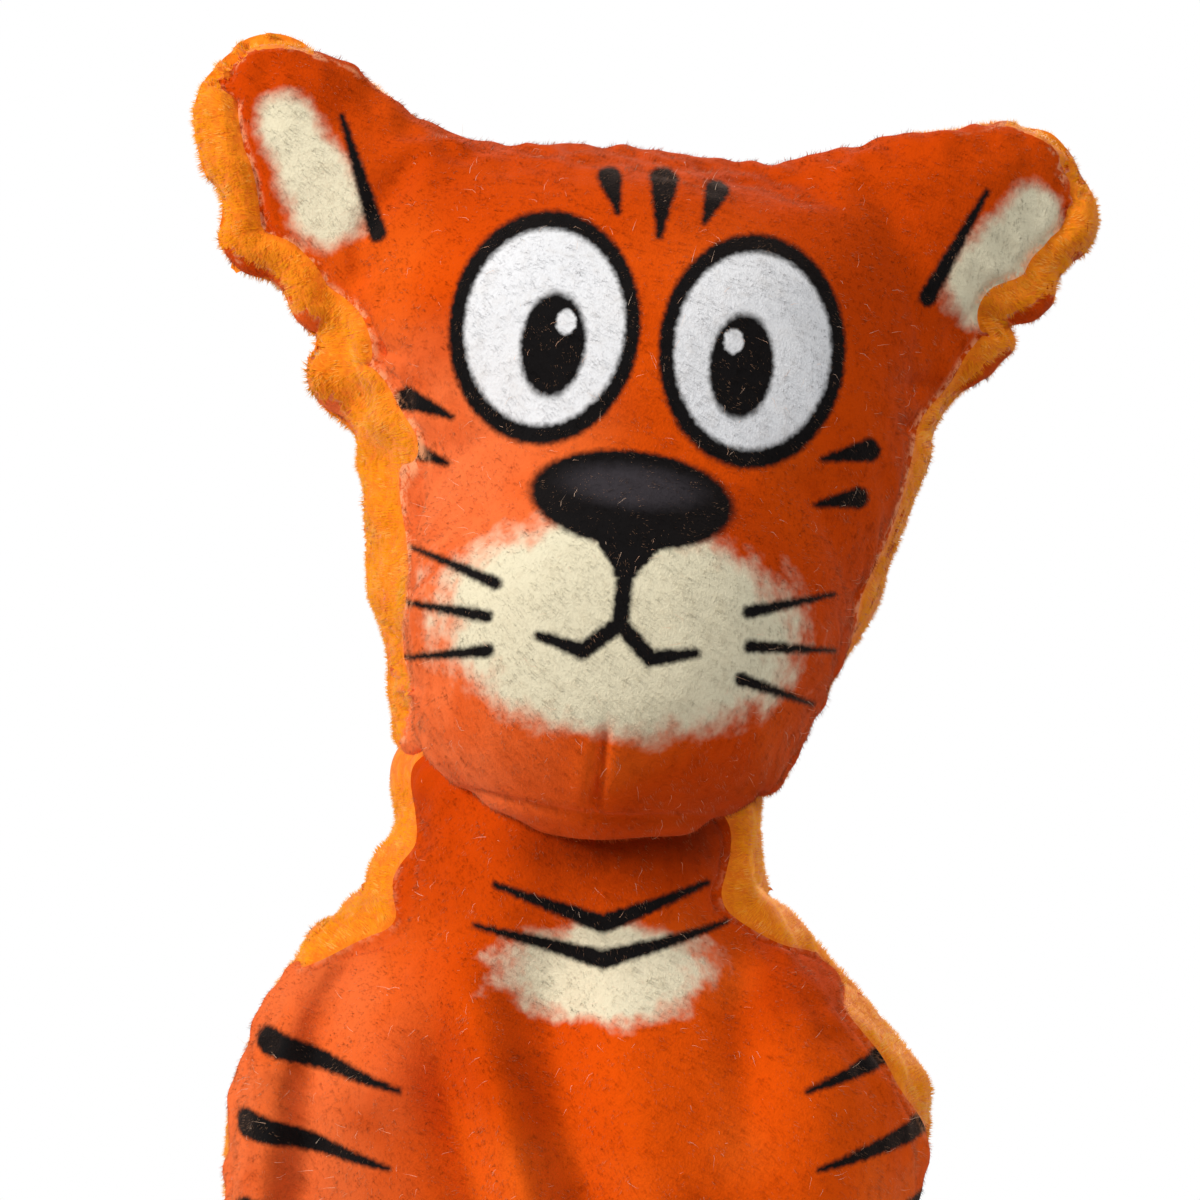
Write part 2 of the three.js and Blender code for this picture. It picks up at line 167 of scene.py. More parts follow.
def ripple(places: Points, wavelength: float, seed: int, waves: int = 9) -> Points:
    """A smooth seeded unevenness in space, about -1 to 1.

    Args:
        places: Points, in the unit of the wavelength.
        wavelength: The usual length of a wave.
        seed: Picks the unevenness.
        waves: How many plain waves it is made of.

    Returns:
        One value a point.
    """
    draw = np.random.default_rng(seed)
    ways = unit(draw.normal(size=(waves, 3)))
    turns = 2 * math.pi / (wavelength * draw.uniform(0.7, 1.45, waves))
    phases = draw.uniform(0, 2 * math.pi, waves)
    return np.sin(places @ (ways * turns[:, None]).T + phases).sum(1) / math.sqrt(waves)


def joined(operation: str, flipped: bool = False) -> Callable[["Signal", "Number"], "Signal"]:
    """Makes an operator on signals.

    Args:
        operation: The Math node's operation.
        flipped: Whether the signal comes second.

    Returns:
        The operator.
    """
    def join(signal: "Signal", other: "Number") -> "Signal":
        """Adds the Math node."""
        pair = (other, signal) if flipped else (signal, other)
        return signal.shader.maths(operation, *pair)

    return join


class Signal:
    """A number that changes over a surface: an expression on it adds Math nodes."""

    __add__ = __radd__ = joined("ADD")
    __mul__ = __rmul__ = joined("MULTIPLY")
    __sub__ = joined("SUBTRACT")
    __rsub__ = joined("SUBTRACT", flipped=True)
    __truediv__ = joined("DIVIDE")
    least = joined("MINIMUM")
    most = joined("MAXIMUM")

    def __init__(self, shader: "Shader", socket: Socket) -> None:
        """Wraps a node's output socket."""
        self.shader = shader
        self.socket = socket

    def __abs__(self) -> "Signal":
        """The size of self without its sign."""
        return self.shader.maths("ABSOLUTE", self)

    def root(self) -> "Signal":
        """The square root of self."""
        return self.shader.maths("SQRT", self)

    def step(self, low: float, high: float) -> "Signal":
        """A smooth step from 0 at low to 1 at high."""
        settings, sockets = {"interpolation_type": "SMOOTHSTEP"}, {0: self, 1: low, 2: high}
        return Signal(self.shader, self.shader.node("ShaderNodeMapRange", settings, sockets).outputs[0])


Number = Union[Signal, float]
Paint = Union[Socket, Colour]


class Shader:
    """A material under construction."""

    def __init__(self, name: str, world: Optional[bpy.types.World] = None) -> None:
        """Makes an empty material, or empties a world.

        Args:
            name: The material's name.
            world: The world, if it is one.
        """
        self.material = world or bpy.data.materials.new(name)
        self.material.use_nodes = True
        self.tree = self.material.node_tree
        self.tree.nodes.clear()

    def node(self, kind: str, settings: Optional[Mapping[str, Any]] = None,
             sockets: Optional[Mapping[Union[str, int], Any]] = None) -> bpy.types.Node:
        """Adds a node.

        Args:
            kind: The node's type.
            settings: Its own settings, set first.
            sockets: A value or a link for its input sockets, by name or number.

        Returns:
            The node.
        """
        made = self.tree.nodes.new(kind)
        for name, value in (settings or {}).items():
            setattr(made, name, value)
        for key, value in (sockets or {}).items():
            if isinstance(value, Signal):
                self.tree.links.new(value.socket, made.inputs[key])
            elif isinstance(value, Socket):
                self.tree.links.new(value, made.inputs[key])
            else:
                made.inputs[key].default_value = value
        return made

    def maths(self, operation: str, *values: Number) -> Signal:
        """A Math node on one or more numbers."""
        made = self.node("ShaderNodeMath", {"operation": operation}, dict(enumerate(values)))
        return Signal(self, made.outputs[0])

    def mix(self, share: Number, below: Paint, above: Paint, how: str = "MIX") -> Paint:
        """Lays one colour over another.

        Args:
            share: How much of the upper colour shows, 0 to 1.
            below: The lower colour.
            above: The upper colour.
            how: The blend type.

        Returns:
            The mixed colour's socket.
        """
        made = self.node("ShaderNodeMix", {"data_type": "RGBA", "blend_type": how},
                         {0: share, 6: below, 7: above})
        return made.outputs[2]

    def place(self, origin: Sequence[float] = (0, 0, 0), turn: Sequence[float] = (0, 0, 0),
              scale: float = MM, sewn: bool = False) -> Socket:
        """Coordinates seen from a frame of the piece's own.

        Args:
            origin: The frame's origin in metres.
            turn: The frame's turn about X, Y and Z in radians.
            scale: The length of its unit in metres.
            sewn: Whether they are the places kept on the cloth, which stay on it as it
                bends, or else Object coordinates.

        Returns:
            The coordinates' socket.
        """
        if sewn:
            at = self.node("ShaderNodeAttribute", {"attribute_name": REST}).outputs["Vector"]
        else:
            at = self.node("ShaderNodeTexCoord").outputs["Object"]
        mapped = self.node("ShaderNodeMapping", {"vector_type": "TEXTURE"},
                           {"Vector": at, "Location": tuple(origin), "Rotation": tuple(turn),
                            "Scale": (scale,) * 3})
        return mapped.outputs[0]

    def axes(self, at: Socket) -> tuple[Signal, Signal, Signal]:
        """Splits coordinates into X, Y and Z."""
        split = self.node("ShaderNodeSeparateXYZ", None, {0: at})
        return tuple(Signal(self, out) for out in split.outputs)

    def noise(self, at: Socket, scale: float, detail: float = 2.0,
              rough: float = 0.5) -> Signal:
        """Noise about 0.5.

        Args:
            at: Where, in the unit of the coordinates.
            scale: Waves to one unit.
            detail: Octaves.
            rough: How strong the finer octaves are.

        Returns:
            The noise's value.
        """
        made = self.node("ShaderNodeTexNoise", None,
                         {"Vector": at, "Scale": scale, "Detail": detail, "Roughness": rough})
        return Signal(self, made.outputs[0])

    def attribute(self, name: str) -> Signal:
        """A number kept on the mesh."""
        made = self.node("ShaderNodeAttribute", {"attribute_name": name})
        return Signal(self, made.outputs["Fac"])

    def bump(self, height: Signal, depth: float, strength: float = 1.0) -> Socket:
        """A relief for the Normal socket.

        Args:
            height: The relief, 0 to 1.
            depth: Its depth in metres.
            strength: How much of it shows.

        Returns:
            The normal's socket.
        """
        made = self.node("ShaderNodeBump", None,
                         {"Strength": strength, "Distance": depth, "Height": height})
        return made.outputs[0]

    def surface(self, sockets: Mapping[str, Any]) -> Material:
        """Closes the material with a Principled BSDF.

        Args:
            sockets: The shader's inputs.

        Returns:
            The finished material.
        """
        body = self.node("ShaderNodeBsdfPrincipled", None, sockets)
        self.node("ShaderNodeOutputMaterial", None, {"Surface": body.outputs[0]})
        return self.material

    def oval(self, x: Signal, z: Signal, centre: Sequence[float],
             radii: Sequence[float]) -> Signal:
        """About the distance outside an oval, negative within.

        Args:
            x: Place across.
            z: Place up.
            centre: The oval's centre.
            radii: Its half widths.

        Returns:
            The distance in the unit of the place.
        """
        across = (x - centre[0]) / radii[0]
        up = (z - centre[1]) / radii[1]
        return ((across * across + up * up).root() - 1) * min(radii)

    def stroke(self, x: Signal, z: Signal, start: Sequence[float], end: Sequence[float],
               thick: Sequence[float]) -> Signal:
        """About the distance outside a tapered pen stroke, negative within.

        Args:
            x: Place across.
            z: Place up.
            start: The stroke's first point.
            end: The stroke's last point.
            thick: Its half width at the start and at the end.

        Returns:
            The distance in the unit of the place.
        """
        run = (end[0] - start[0], end[1] - start[1])
        span = run[0] ** 2 + run[1] ** 2
        across, up = x - start[0], z - start[1]
        along = ((across * run[0] + up * run[1]) / span).most(0.0).least(1.0)
        aside, above = across - along * run[0], up - along * run[1]
        return ((aside * aside + above * above).root()
                - (along * (thick[1] - thick[0]) + thick[0]))

    def strokes(self, x: Signal, z: Signal, rows: Sequence[Stroke]) -> Signal:
        """About the distance outside the nearest of several strokes.

        Args:
            x: Place across.
            z: Place up.
            rows: Each stroke's start, end and half widths.

        Returns:
            The distance in the unit of the place.
        """
        marks = self.stroke(x, z, *rows[0])
        for row in rows[1:]:
            marks = marks.least(self.stroke(x, z, *row))
        return marks


@dataclass(frozen=True)
class Layer:
    """One printed shape: the distance outside it, its ink, and how soft and strong it is."""

    away: Signal
    ink: Colour
    soft: Optional[float] = None
    share: float = 1.0


@dataclass(frozen=True)
class VelourFinish:
    """Short orange pile with a print soaked into it."""

    ground: Colour = srgb(228, 82, 4)
    ground_deep: Colour = srgb(204, 66, 0)
    ground_warm: Colour = srgb(240, 104, 26)
    # The colour of the painted sheen, where light grazes the pile.
    brushed: Colour = srgb(250, 122, 66)
    cream: Colour = srgb(236, 228, 198)
    white: Colour = srgb(238, 240, 244)
    ink: Colour = srgb(20, 19, 20)
    ink_worn: Colour = srgb(74, 70, 76)
    lint: Colour = srgb(240, 226, 205)
    raw: Colour = srgb(255, 176, 128)
    clouded: Colour = (0.93, 0.88, 0.82, 1.0)
    ruffled: Colour = (0.84, 0.80, 0.76, 1.0)
    between: Colour = (0.72, 0.66, 0.60, 1.0)
    # The multiply tint of painted shade in folds and under the chin.
    flattened: Colour = (0.50, 0.44, 0.40, 1.0)
    gleam: Colour = (1.0, 0.56, 0.34, 1.0)
    sheen: Colour = (1.0, 0.58, 0.40, 1.0)
    bleed: float = 0.7
    wobble: float = 1.1

    def feel(self, shader: Shader, at: Socket, paint: Paint) -> Material:
        """Gives a printed colour the pile's grain, lint and sheen.

        Args:
            shader: The material under construction.
            at: Coordinates in millimetres.
            paint: The printed colour.

        Returns:
            The finished material.
        """
        grain = shader.noise(at, 1.7, 3.0, 0.65)
        drift = shader.noise(at, 0.045, 2.0)
        brushed = shader.noise(at, 0.32, 2.0, 0.6)
        for share, tint, how in (
                ((drift - 0.35) * 0.55, self.clouded, "MULTIPLY"),
                ((brushed - 0.5).step(0.0, 0.2) * 0.28, self.ruffled, "MULTIPLY"),
                ((grain - 0.5).step(-0.02, 0.2) * 0.16, self.between, "MULTIPLY"),
                (shader.attribute("shade").step(0.45, 1.0) * 0.36, self.gleam, "SCREEN")):
            paint = shader.mix(share, paint, tint, how)
        frayed = shader.noise(at, 0.35, 3.0, 0.7).step(0.42, 0.56)
        paint = shader.mix(shader.attribute("edge") * frayed * 0.75, paint, self.raw)
        height = grain * 0.6 + brushed * 0.4
        return shader.surface({
            "Base Color": paint, "Roughness": 0.92, "Specular IOR Level": 0.04,
            "Sheen Weight": 0.11, "Sheen Roughness": 0.40, "Sheen Tint": self.sheen,
            "Normal": shader.bump(height, 0.5 * MM, 0.75)})

    def hairs(self) -> Material:
        """Makes the material of the pale hairs that cling to the velour.

        Returns:
            The material.
        """
        shader = Shader("clinging_hairs")
        paint = shader.mix(shader.attribute("shade"), self.lint, self.raw)
        return shader.surface({"Base Color": paint, "Roughness": 0.5})

    def inked(self, away: Signal, soft: Optional[float] = None) -> Signal:
        """How much of a shape's ink shows at a distance from its edge."""
        reach = self.bleed if soft is None else soft
        return 1 - away.step(-reach, reach)

    def bare(self, shader: Shader, at: Socket, sheen_mask: Signal,
             shade_mask: Signal) -> Paint:
        """Makes the orange ground, paler and deeper in soft clouds, with a painted sheen and a painted
        shade on top.

        Args:
            shader: The material under construction.
            at: Coordinates in millimetres.
            sheen_mask: Where a sheen is painted on, paler and pinker where light grazes the pile, 0 to
                1.
            shade_mask: Where a shade is painted on, a deeper orange where less light falls, 0 to 1.

        Returns:
            The ground's colour.
        """
        cloud = shader.noise(at, 0.022, 2.0)
        paint = shader.mix(cloud.step(0.42, 0.66), self.ground, self.ground_deep)
        warm = shader.noise(at, 0.03, 1.0)
        paint = shader.mix(warm.step(0.5, 0.7) * 0.5, paint, self.ground_warm)
        # Painted shade: a deeper orange where less light falls.
        paint = shader.mix(shade_mask * 0.7, paint, self.ground_deep)
        # Painted sheen: a paler, pinker orange where light grazes the pile, broken up by noise.
        sheen_breakup = shader.noise(at, 0.06, 3.0, 0.6).step(0.25, 0.6)
        return shader.mix(sheen_mask * (sheen_breakup * 0.6 + 0.4), paint, self.brushed)

    def pressed(self, shader: Shader, paint: Paint, share: Signal) -> Paint:
        """Deepens a colour with painted shade, where folds and the chin keep the light off."""
        return shader.mix(share, paint, self.flattened, "MULTIPLY")

    def printed(self, shader: Shader, paint: Paint, layers: Sequence[Layer]) -> Paint:
        """Prints shapes one over another.

        Args:
            shader: The material under construction.
            paint: The colour below.
            layers: The shapes, the lowest first.

        Returns:
            The printed colour.
        """
        for layer in layers:
            share = self.inked(layer.away, layer.soft) * layer.share
            paint = shader.mix(share, paint, layer.ink)
        return paint

    def wobbled(self, shader: Shader, at: Socket) -> tuple[Signal, Signal]:
        """Shakes the place as fibres shake a printed edge.

        Args:
            shader: The material under construction.
            at: Coordinates in millimetres.

        Returns:
            The place across and up.
        """
        x, _, z = shader.axes(at)
        shake, shake_up = (shader.noise(at, scale, 2.0) - 0.5 for scale in (0.9, 0.77))
        return x + shake * self.wobble, z + shake_up * self.wobble


@dataclass(frozen=True)
class FacePrint:
    """A plain tabby face, in millimetres from the neck's pivot in the head's own frame."""

    middle: float = 2.5
    eye_centre: Pair = (20.5, 92.0)
    eye_radii: Pair = (15.5, 19.5)
    eye_line: float = 3.2
    pupil_centre: Pair = (18.5, 88.5)
    pupil_radii: Pair = (6.4, 10.5)
    glint_centre: Pair = (16.4, 93.2)
    glint_radii: Pair = (1.9, 2.4)
    nose_centre: Pair = (0.0, 60.0)
    nose_radii: Pair = (20.0, 9.6)
    muzzle_centre: Pair = (0.0, 35.0)
    muzzle_radii: Pair = (35.0, 20.0)
    shine_centre: Pair = (0.0, 62.5)
    shine_radii: Pair = (12.0, 3.8)
    chin_shade: Stroke = ((12.0, 0.0), (34.0, 5.0), (5.0, 5.0))
    ear_patch: Stroke = ((66.0, 112.0), (76.0, 128.0), (7.5, 6.0))
    ear_line: Stroke = ((55.5, 108.0), (65.5, 131.0), (1.9, 0.7))
    stripes: tuple[Stroke, ...] = (
        ((0.0, 125.0), (0.0, 112.5), (3.0, 0.7)),
        ((10.8, 124.0), (8.6, 116.5), (2.6, 0.6)),
        ((46.0, 75.5), (36.5, 72.5), (2.4, 0.6)),
        ((45.0, 66.0), (36.5, 63.5), (2.2, 0.6)),
        ((24.5, 41.0), (42.0, 46.5), (1.35, 0.5)),
        ((25.5, 34.5), (43.5, 35.5), (1.35, 0.5)),
        ((24.5, 28.0), (40.5, 24.5), (1.35, 0.5)))
    mouth: tuple[Stroke, ...] = (
        ((0.0, 57.5), (0.0, 46.5), (11.5, 2.6)),
        ((0.0, 48.0), (0.0, 36.0), (1.7, 1.7)),
        ((0.0, 36.0), (6.5, 30.0), (1.7, 1.7)),
        ((6.5, 30.0), (15.0, 32.0), (1.7, 1.0)))

    def paint(self, finish: VelourFinish, origin: Vector, roll: float) -> Material:
        """Makes the head's velour.

        Args:
            finish: The velour.
            origin: The head's pivot.
            roll: The head's tilt about Y.

        Returns:
            The material.
        """
        shader = Shader("velour_face")
        at = shader.place(origin, (0, roll, 0), sewn=True)
        x, z = finish.wobbled(shader, at)
        # Painted sheen on the left below the eyes, where the light grazes the pile; painted shade on
        # the right side and the forehead.
        low = 1 - z.step(70.0, 98.0)
        shade_mask = x.step(10.0, 50.0).most(z.step(98.0, 118.0))
        paint = finish.bare(shader, at, (-1.0 * x).step(-6.0, 34.0) * low, shade_mask)
        # Painted shade under the chin.
        chin = shader.stroke(x, z, *self.chin_shade)
        paint = finish.pressed(shader, paint, finish.inked(chin, 8.0) * 0.5)
        feather = shader.noise(at, 0.16, 3.0, 0.6) - 0.5
        layers = self.layers(shader, finish, abs(x - self.middle), z, feather)
        return finish.feel(shader, at, finish.printed(shader, paint, layers))

    def layers(self, shader: Shader, finish: VelourFinish, side: Signal, z: Signal,
               feather: Signal) -> list[Layer]:
        """Draws the face's shapes, alike on both sides.

        Args:
            shader: The material under construction.
            finish: The velour.
            side: Place to either side of the middle.
            z: Place up.
            feather: Noise for feathered edges.

        Returns:
            The muzzle, the ears' patches and lines, the stripes and whiskers, the eyes with
            their pupils and glints, and the nose with its mouth and shine.
        """
        muzzle = shader.oval(side, z, self.muzzle_centre, self.muzzle_radii) + feather * 11
        patch = shader.stroke(side, z, *self.ear_patch) + feather * 6
        eye = shader.oval(side, z, self.eye_centre, self.eye_radii)
        pupil = shader.oval(side, z, self.pupil_centre, self.pupil_radii)
        glint = shader.oval(side, z, self.glint_centre, self.glint_radii)
        nose = shader.oval(side, z, self.nose_centre, self.nose_radii)
        nose = nose.least(shader.strokes(side, z, self.mouth))
        shine = shader.oval(side, z, self.shine_centre, self.shine_radii)
        return [
            Layer(muzzle, finish.cream, 3.4),
            Layer(patch, finish.cream, 2.2),
            Layer(shader.stroke(side, z, *self.ear_line), finish.ink),
            Layer(shader.strokes(side, z, self.stripes), finish.ink),
            Layer(eye - self.eye_line, finish.ink),
            Layer(eye, finish.white),
            Layer(pupil, finish.ink),
            Layer(glint, finish.white, 0.4),
            Layer(nose, finish.ink),
            Layer(shine, finish.ink_worn, 1.8, 0.55)]


@dataclass(frozen=True)
class BodyPrint:
    """A cream bib and tabby flank stripes, in millimetres in the toy's frame."""

    middle: float = 4.0
    bib_centre: Pair = (0.0, 107.0)
    bib_radii: Pair = (20.0, 9.5)
    # Painted shade in the front's folds and on the neck under the chin: each stroke, how soft its edge
    # is and how dark it goes.
    folds: tuple[tuple[Stroke, float, float], ...] = (
        (((-42.0, 74.0), (-38.0, 44.0), (10.0, 20.0)), 8.0, 0.45),
        (((-49.0, 110.0), (-59.0, 84.0), (1.5, 3.0)), 4.0, 0.60),
        (((-59.0, 84.0), (-62.0, 48.0), (3.0, 4.0)), 5.0, 0.70),
        (((-17.0, 106.0), (-2.0, 54.0), (4.0, 3.0)), 5.0, 0.60),
        (((-6.0, 133.0), (22.0, 133.0), (7.0, 7.0)), 7.0, 0.90),
        (((2.0, 134.0), (20.0, 134.0), (4.0, 4.0)), 5.0, 0.60))
    stripes: tuple[Stroke, ...] = (
        ((0.0, 116.5), (21.0, 124.0), (2.0, 0.7)),
        ((0.0, 109.5), (25.0, 116.0), (2.0, 0.6)),
        ((66.0, 92.0), (40.0, 84.0), (2.8, 0.6)),
        ((70.0, 76.0), (42.0, 69.0), (2.9, 0.6)),
        ((70.0, 59.0), (44.0, 54.0), (2.9, 0.6)),
        ((69.0, 41.0), (46.0, 39.0), (2.7, 0.6)),
        ((66.0, 25.0), (48.0, 25.0), (2.4, 0.6)))

    def paint(self, finish: VelourFinish) -> Material:
        """Makes the body's velour.

        Args:
            finish: The velour.

        Returns:
            The material.
        """
        shader = Shader("velour_body")
        at = shader.place(sewn=True)
        x, z = finish.wobbled(shader, at)
        feather = shader.noise(at, 0.14, 3.0, 0.6) - 0.5
        # Painted sheen on the lit left flank; painted shade on the neck under the chin, less so on the
        # right.
        sheen_mask = (-1.0 * x).step(22.0, 54.0) * (1 - z.step(104.0, 120.0)) * 0.75
        paint = finish.bare(shader, at, sheen_mask, z.step(104.0, 124.0) * (1 - x.step(12.0, 40.0)))
        # Painted shade along the folds and under the chin.
        for line, soft, share in self.folds:
            fold = shader.stroke(x, z, *line) + feather * 5
            paint = finish.pressed(shader, paint, finish.inked(fold, soft) * share)
        side = abs(x - self.middle)
        bib = shader.oval(side, z, self.bib_centre, self.bib_radii) + feather * 10
        layers = [Layer(bib, finish.cream, 2.2),
                  Layer(shader.strokes(side, z, self.stripes), finish.ink)]
        return finish.feel(shader, at, finish.printed(shader, paint, layers))


@dataclass(frozen=True)
class PlushFinish:
    """Amber plush: a woven ground and a pile that pales towards its tips."""

    root: Colour = srgb(250, 134, 0)
    tip: Colour = srgb(254, 162, 14)
    # The colour of the glints painted on some strands' tips.
    pale: Colour = srgb(255, 212, 136)
    ground: Colour = srgb(252, 142, 10)
    ground_deep: Colour = srgb(240, 120, 5)
    shaded: Colour = (0.84, 0.64, 0.40, 1.0)

    def pile(self) -> Material:
        """Makes the strands' material.

        Returns:
            The material.
        """
        shader = Shader("plush_pile")
        along = shader.attribute("along")
        shade = shader.attribute("shade")
        paint = shader.mix(along.step(0.0, 0.85), self.root, self.tip)
        # Painted glints: some strands pale to cream towards their tips.
        paint = shader.mix(shade.step(0.62, 0.95) * along * 0.75, paint, self.pale)
        paint = shader.mix((0.5 - shade).step(0.0, 0.4) * 0.5, paint, self.shaded, "MULTIPLY")
        # A faint glow in the pile's own colour is painted light: it brightens the plush where the lamps
        # leave it in shade, as light through the fibres would.
        return shader.surface({
            "Base Color": paint, "Roughness": 0.5, "Specular IOR Level": 0.14,
            "Emission Color": paint, "Emission Strength": 0.10})

    def cloth(self) -> Material:
        """Makes the woven ground's material.

        Returns:
            The material.
        """
        shader = Shader("plush_ground")
        at = shader.place(sewn=True)
        tuft = shader.noise(at, 0.5, 3.0, 0.6)
        paint = shader.mix(tuft.step(0.35, 0.65), self.ground_deep, self.ground)
        return shader.surface({
            "Base Color": paint, "Roughness": 0.9, "Specular IOR Level": 0.15,
            "Sheen Weight": 0.3, "Sheen Roughness": 0.5,
            "Normal": shader.bump(tuft, 0.6 * MM, 0.7)})


@dataclass(frozen=True)
class FillFinish:
    """White polyester fibre."""

    light: Colour = srgb(240, 238, 232)
    dark: Colour = srgb(206, 202, 192)

    def material(self) -> Material:
        """Makes the filling's material.

        Returns:
            The material.
        """
        shader = Shader("fibre_fill")
        at = shader.place()
        wisp = shader.noise(at, 0.4, 4.0, 0.7)
        return shader.surface({
            "Base Color": shader.mix(wisp.step(0.35, 0.65), self.dark, self.light),
            "Roughness": 0.95, "Sheen Weight": 0.3,
            "Normal": shader.bump(wisp, 1.5 * MM)})


@dataclass(frozen=True)
class ThreadFinish:
    """Twisted orange sewing thread."""

    light: Colour = srgb(232, 112, 22)
    dark: Colour = srgb(170, 62, 6)

    def material(self) -> Material:
        """Makes the thread's material.

        Returns:
            The material.
        """
        shader = Shader("seam_thread")
        at = shader.place()
        x, y, z = shader.axes(at)
        twist = shader.maths("SINE", (x + y + z * 1.3) * 4.2) * 0.5 + 0.5
        return shader.surface({
            "Base Color": shader.mix(twist, self.dark, self.light), "Roughness": 0.6,
            "Normal": shader.bump(twist, 0.25 * MM)})


@dataclass(frozen=True)
class MouldedFinish:
    """Moulded plastic with a faint eggshell grain."""

    name: str
    light: Colour
    dark: Colour
    rough: float

    def material(self) -> Material:
        """Makes the plastic's material.

        Returns:
            The material.
        """
        shader = Shader(self.name)
        at = shader.place()
        cloud = shader.noise(at, 0.15, 2.0)
        grain = shader.noise(at, 3.0, 2.0)
        return shader.surface({
            "Base Color": shader.mix(cloud.step(0.35, 0.65), self.dark, self.light),
            "Roughness": grain * 0.2 + self.rough,
            "Normal": shader.bump(grain, 0.04 * MM, 0.6)})


class Mesher:
    """The workshop: gathers, remeshes, stuffs and cuts meshes."""

    @staticmethod
    def show(name: str, mesh: bpy.types.Mesh) -> Thing:
        """Puts a mesh into the scene.

        Args:
            name: The object's name.
            mesh: The mesh.

        Returns:
            The object.
        """
        made = bpy.data.objects.new(name, mesh)
        bpy.context.scene.collection.objects.link(made)
        return made

    @staticmethod
    @contextmanager
    def shaping(mesh: bpy.types.Mesh) -> Iterator[bmesh.types.BMesh]:
        """Opens a mesh for bmesh operators and writes what they made back into it.

        Args:
            mesh: The mesh.

        Yields:
            Its shape, which the operators change.
        """
        shape = bmesh.new()
        shape.from_mesh(mesh)
        yield shape
        shape.to_mesh(mesh)
        shape.free()

    @staticmethod
    def read(rows: Any, name: str, width: int = 3, kind: type = np.float32) -> Points:
        """Reads one property of all rows of a mesh.

        Args:
            rows: The rows, such as its vertices.
            name: The property's name.
            width: How many numbers a row has.
            kind: The numbers' type.

        Returns:
            A row of numbers each.
        """
        found = np.empty(len(rows) * width, kind)
        rows.foreach_get(name, found)
        return found.reshape(-1, width)

    @staticmethod
    def keep(mesh: bpy.types.Mesh, label: str, values: Points) -> None:
        """Keeps a number or a place of each vertex on the mesh.

        Args:
            mesh: The mesh.
            label: The attribute's name.
            values: The numbers, or the places in rows of three.
        """
        kind, name = ("FLOAT", "value") if values.ndim == 1 else ("FLOAT_VECTOR", "vector")
        kept = mesh.attributes.new(label, kind, "POINT")
        kept.data.foreach_set(name, values.astype(np.float32).ravel())

    @staticmethod
    def drop(thing: Thing) -> None:
        """Removes an object and its mesh.

        Args:
            thing: The object.
        """
        mesh = thing.data
        bpy.data.objects.remove(thing)
        bpy.data.meshes.remove(mesh)

    @staticmethod
    def twin(thing: Thing, name: str) -> Thing:
        """A copy of an object with a mesh of its own."""
        return Mesher.show(name, thing.data.copy())

    @staticmethod
    def gather(name: str, nodes: Sequence[str],
               wads: Sequence[Matrix] = ()) -> Thing:
        """Copies nodes of the frame into one mesh.

        Args:
            name: The new object's name.
            nodes: The nodes' names.
            wads: Balls of stuffing to add, each a matrix for a ball of radius 1.

        Returns:
            The new object.
        """
        mesh = bpy.data.meshes.new(name)
        with Mesher.shaping(mesh) as shape:
            for node in nodes:
                shape.from_mesh(frame["nodes"][node].data)
            for wad in wads:
                bmesh.ops.create_uvsphere(shape, u_segments=20, v_segments=12, radius=1.0,
                                          matrix=wad)
            bmesh.ops.remove_doubles(shape, verts=shape.verts, dist=0.001 * MM)
        return Mesher.show(name, mesh)

    @staticmethod
    def modify(thing: Thing, kind: str, **settings: Any) -> None:
        """Runs a modifier and makes what it does part of the mesh.

        Args:
            thing: The object.
            kind: The modifier's type.
            **settings: Its settings.
        """
        modifier = thing.modifiers.new(kind, kind)
        for name, value in settings.items():
            setattr(modifier, name, value)
        held = bpy.context.evaluated_depsgraph_get()
        mesh = bpy.data.meshes.new_from_object(thing.evaluated_get(held))
        thing.modifiers.clear()
        old, thing.data = thing.data, mesh
        bpy.data.meshes.remove(old)

    @staticmethod
    def points(thing: Thing) -> Points:
        """The places of an object's vertices."""
        return Mesher.read(thing.data.vertices, "co").astype(float)

    @staticmethod
    def normals(thing: Thing) -> Points:
        """The directions of an object's vertices."""
        return Mesher.read(thing.data.vertex_normals, "vector").astype(float)

    @staticmethod
    def move(thing: Thing, places: Points) -> None:
        """Sets the places of an object's vertices."""
        thing.data.vertices.foreach_set("co", places.astype(np.float32).ravel())
        thing.data.update()

    @staticmethod
    def smooth(thing: Thing, times: int, amount: Optional[Points] = None) -> None:
        """Relaxes a skin.

        Args:
            thing: The object.
            times: How often.
            amount: How much of the relaxing each vertex takes, 0 to 1.
        """
        start = Mesher.points(thing)
        with Mesher.shaping(thing.data) as shape:
            for _ in range(times):
                bmesh.ops.smooth_vert(shape, verts=shape.verts, factor=0.5, use_axis_x=True,
                                      use_axis_y=True, use_axis_z=True)
        if amount is not None:
            eased = Mesher.points(thing)
            Mesher.move(thing, start + (eased - start) * amount[:, None])
        thing.data.update()

